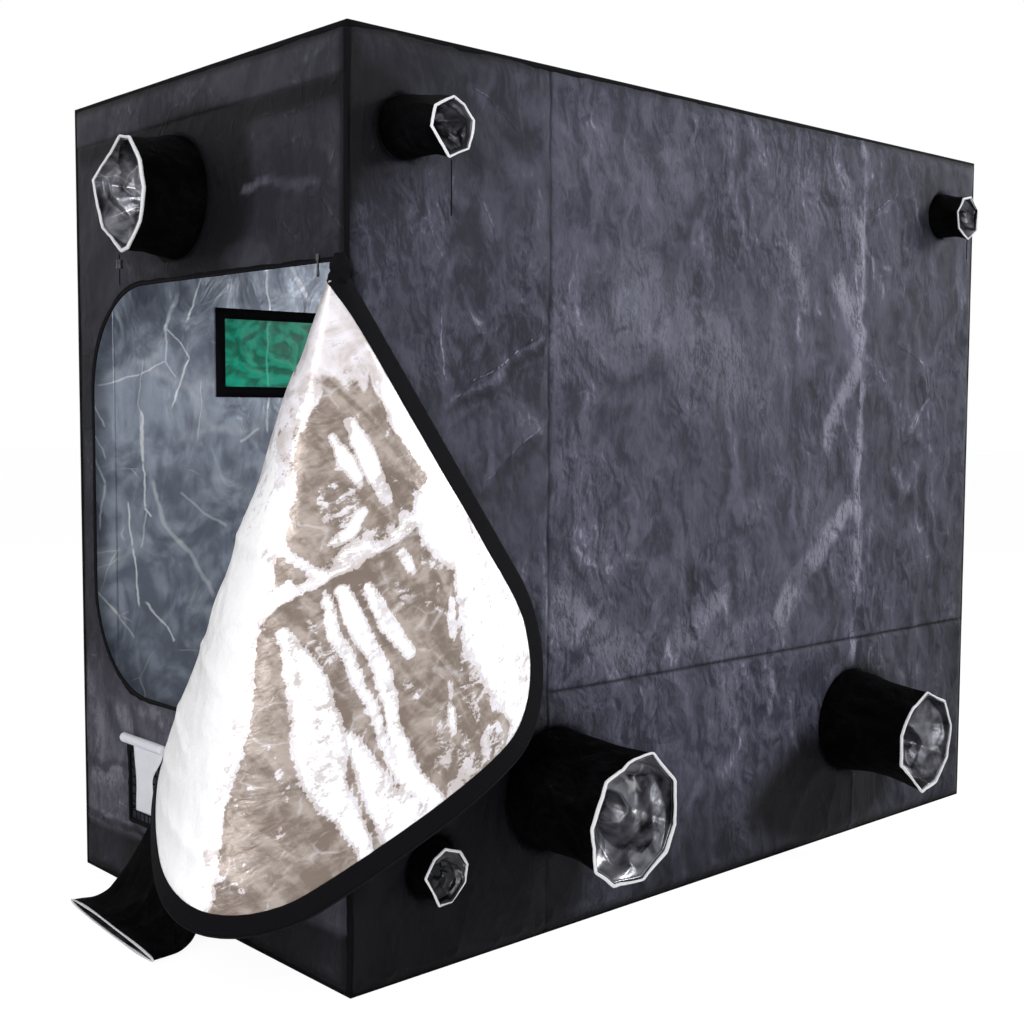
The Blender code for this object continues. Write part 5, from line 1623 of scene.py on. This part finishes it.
def makeVent():
    border = frameTape("vent_border", "end", vent, vent["border"], *tapeLifts)
    settle("root", "black_cloth", border)
    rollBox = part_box("vent_cover")
    middle = (vent["left"] + vent["right"]) / 2
    height = rollBox[1].z - ventCover["radius"] + ventCover["raised"]
    axisX = rollBox[1].x - ventCover["radius"]
    along = np.linspace(rollBox[0].y, rollBox[1].y - ventCover["pulledIn"], 60)
    turns = fullTurn(ventCover["sides"])
    place, turn = np.meshgrid(along, turns, indexing="ij")
    spiral = np.mod(turn + 2.2, 2 * math.pi) / (2 * math.pi)
    radius = ventCover["radius"] * (0.93 + 0.07 * spiral + 0.03 * lattice(place / 0.05, turn, 701))
    ends = np.minimum(place - along[0], along[-1] - place)
    radius = radius * (0.8 + 0.2 * smoothStep(ends, 0, 0.006))
    points = np.stack([axisX + radius * np.cos(turn), place, height + radius * np.sin(turn)], axis=-1)
    roll = merged(gridPiece("roll", capped(points), [rolledCover], around=True))
    drop = np.linspace(0, 1, 40)
    # it narrows from the roll to a waist, and widens again towards its foot
    toWaist, toFoot = smoothStep(drop, 0.0, 0.5), smoothStep(drop, 0.55, 1.0)
    top, waist, foot = ventCover["top"] / 2, ventCover["waist"] / 2, ventCover["foot"] / 2
    half = top + (waist - top) * toWaist + (foot - waist) * toFoot
    aside = ventCover["aside"]
    middle = middle + (aside[0] + (aside[1] - aside[0]) * toWaist + (aside[2] - aside[1]) * toFoot)[:, None]
    width = np.linspace(-1, 1, 24)
    down, across = np.meshgrid(drop, width, indexing="ij")
    length = height - rollBox[0].z - ventCover["short"]
    out = axisX - ventCover["radius"] * 0.3 + 0.0035 * down + 0.0016 * lattice(across * 2, down * 3, 702)
    points = np.stack([out, middle + half[:, None] * across, height - 0.006 - (length - 0.008) * down], axis=-1)
    strip = gridPiece("strip", points, [rolledCover])
    thicken(strip, ventCover["strip"], 0.0, False)
    bpy.context.view_layer.update()
    graph = bpy.context.evaluated_depsgraph_get()
    solid = bpy.data.meshes.new_from_object(strip.evaluated_get(graph))
    strip.modifiers.clear()
    strip.data = solid
    cover = joinedPiece("vent_cover_roll", [roll, merged(strip)])
    cover.data.shade_smooth()
    settle("root", "vent_trim", cover)
    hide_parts("vent_cover")


makeVent()


trayShape = {"thick": 0.0008, "wave": 0.0012, "inset": 0.001, "power": 0.05, "columns": 240, "side": 0.05}


def makeTray():
    # rounded rectangles that grow over the floor and then rise up the four sides
    low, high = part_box("spill_tray")
    half = np.array((high.x, high.y)) - trayShape["inset"]
    turns = fullTurn(trayShape["columns"])
    power = trayShape["power"]
    cosine, sine = np.cos(turns), np.sin(turns)
    reach = 1 / np.maximum(np.abs(cosine) ** (2 / power), np.abs(sine) ** (2 / power)) ** (power / 2)
    square = np.stack([cosine * reach, sine * reach], axis=-1)
    grow = np.concatenate([np.linspace(0.0, 0.985, 14), np.full(7, 1.0)])
    rise = np.concatenate([np.zeros(14), np.linspace(0.08, 1, 7)])
    base = low.z + trayShape["thick"]
    edge = half * np.clip(square, -1, 1)
    points = np.zeros((len(grow), len(turns), 3))
    points[..., :2] = grow[:, None, None] * edge[None]
    wave = trayShape["wave"] * lattice(points[..., 0] / 0.15, points[..., 1] / 0.15, 801) + trayShape["wave"]
    points[..., 2] = base + rise[:, None] * (high.z - base) + wave * (rise[:, None] == 0)
    tray = merged(gridPiece("spill_tray_sheet", points, [traySheet], around=True))
    facedUp(tray, len(tray.data.polygons) // 3)
    thicken(tray, trayShape["thick"], 0.0, False)
    settle("root", "tray_sheet", tray)
    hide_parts("spill_tray")


makeTray()
print("vent and tray made")


# Drawstring tails: each hangs straight down from its sleeve's mouth

tailSize = {"across": 0.003, "steps": 15}
stringTails = {
    "string_end_high": {"drop": 0.07, "end": "knot"},
    "string_back_near": {"drop": 0.11, "end": "bare"},
    "string_back_far": {"drop": 0.06, "end": "bare"},
}


def makeStrings():
    for name, tail in stringTails.items():
        low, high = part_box(name)
        top = Vector(((low.x + high.x) / 2, (low.y + high.y) / 2, high.z))
        curve = bpy.data.curves.new(name + "_cord", "CURVE")
        curve.dimensions = "3D"
        curve.bevel_depth = tailSize["across"] / 2
        curve.bevel_resolution = 3
        curve.use_fill_caps = True
        curve.materials.append(cordWeave)
        spline = curve.splines.new("POLY")
        spline.points.add(tailSize["steps"])
        for step, point in enumerate(spline.points):
            point.co = (top.x, top.y, top.z - tail["drop"] * step / tailSize["steps"], 1)
        cord = bpy.data.objects.new(name + "_cord", curve)
        bpy.context.scene.collection.objects.link(cord)
        settle("root", "drawstring", cord)
        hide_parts(name)


makeStrings()


# Rigid CAD nodes keep their shape and take a finish

nodeFinishes = {
    "upright": (polePaint, "steel_poles"), "rail": (polePaint, "steel_poles"),
    "cross_rail": (polePaint, "steel_poles"), "hanging_bar": (polePaint, "steel_poles"),
    "corner": (mouldedPlastic, "connectors"), "tee": (mouldedPlastic, "connectors"),
    "end_door_slider": (zipMetal, "zip_metal"), "front_slider": (zipMetal, "zip_metal"),
    "vent_net": (netFinish, "vent_net"), "cord_lock": (mouldedPlastic, "cord_lock"),
}


def finishNodes():
    for name, thing in nodes.items():
        for start, (finish, slot) in nodeFinishes.items():
            if name.startswith(start):
                thing.data.materials.clear()
                thing.data.materials.append(finish)


finishNodes()


# Studio: white surroundings, pale floor, soft lamps

studio = {
    "ambient": 0.34,
    "floor": {"reach": 40.0, "pale": 0.9, "glow": 1.12, "share": 0.84},
    "lamps": {
        "key": {"from": (4.6, -3.6, 3.4), "to": (0.1, -0.4, 1.0), "size": 1.6, "power": 220},
        "fill": {"from": (-4.4, -3.2, 2.2), "to": (-1.0, -0.3, 0.9), "size": 2.2, "power": 135},
        "top": {"from": (0.4, 0.6, 5.5), "to": (0, 0, 1.5), "size": 3.0, "power": 60},
        "inside": {"from": (0.35, -0.4, 1.55), "to": (-0.9, 0.6, 1.0), "size": 0.5, "power": 4.5},
    },
}


def makeStudio():
    world = bpy.data.worlds.new("studio")
    bpy.context.scene.world = world
    world.use_nodes = True
    # full strength where it is seen, mirrored or seen through, and a little light for the rest
    sky = Graph(world.node_tree)
    camera, glossy, through = (sky.node("ShaderNodeLightPath", output=f"Is {kind} Ray")
                               for kind in ("Camera", "Glossy", "Transmission"))
    seen = sky.node("ShaderNodeMath", {"operation": "MAXIMUM"}, {0: camera, 1: glossy})
    seen = sky.node("ShaderNodeMath", {"operation": "MAXIMUM"}, {0: seen, 1: through})
    strength = sky.node("ShaderNodeMapRange", None, {"Value": seen, "To Min": studio["ambient"], "To Max": 1.0})
    light = sky.node("ShaderNodeBackground", None, {"Color": (1, 1, 1), "Strength": strength})
    sky.node("ShaderNodeOutputWorld", None, {"Surface": light})
    bpy.context.scene.view_settings.view_transform = "Standard"

    # a pale floor that glows a little where the camera sees it, so that it runs into the white
    floor = studio["floor"]
    ground = Finish("studio_floor", (0.95, 0.95, 0.95))
    seenFloor = ground.node("ShaderNodeLightPath", output="Is Camera Ray")
    plain = ground.node("ShaderNodeBsdfDiffuse", None, {"Color": (floor["pale"],) * 3})
    bright = ground.node("ShaderNodeEmission", None, {"Color": (1, 1, 1), "Strength": floor["glow"]})
    blend = ground.node("ShaderNodeMixShader", None, {0: seenFloor * floor["share"], 1: plain, 2: bright})
    ground.node("ShaderNodeOutputMaterial", None, {"Surface": blend})
    reach = floor["reach"]
    mesh = bpy.data.meshes.new("studio_floor")
    mesh.from_pydata([(-reach, -reach, 0), (reach, -reach, 0), (reach, reach, 0), (-reach, reach, 0)], [],
                     [(0, 1, 2, 3)])
    mesh.materials.append(ground.material)
    plate = bpy.data.objects.new("studio_floor", mesh)
    bpy.context.scene.collection.objects.link(plate)

    for name, lamp in studio["lamps"].items():
        light = bpy.data.lights.new(name, "AREA")
        light.shape = "DISK"
        light.size = lamp["size"]
        light.energy = lamp["power"]
        thing = bpy.data.objects.new(name, light)
        aim = Vector(lamp["to"]) - Vector(lamp["from"])
        thing.location = lamp["from"]
        thing.rotation_euler = aim.to_track_quat("-Z", "Y").to_euler()
        bpy.context.scene.collection.objects.link(thing)


makeStudio()
print("studio made")
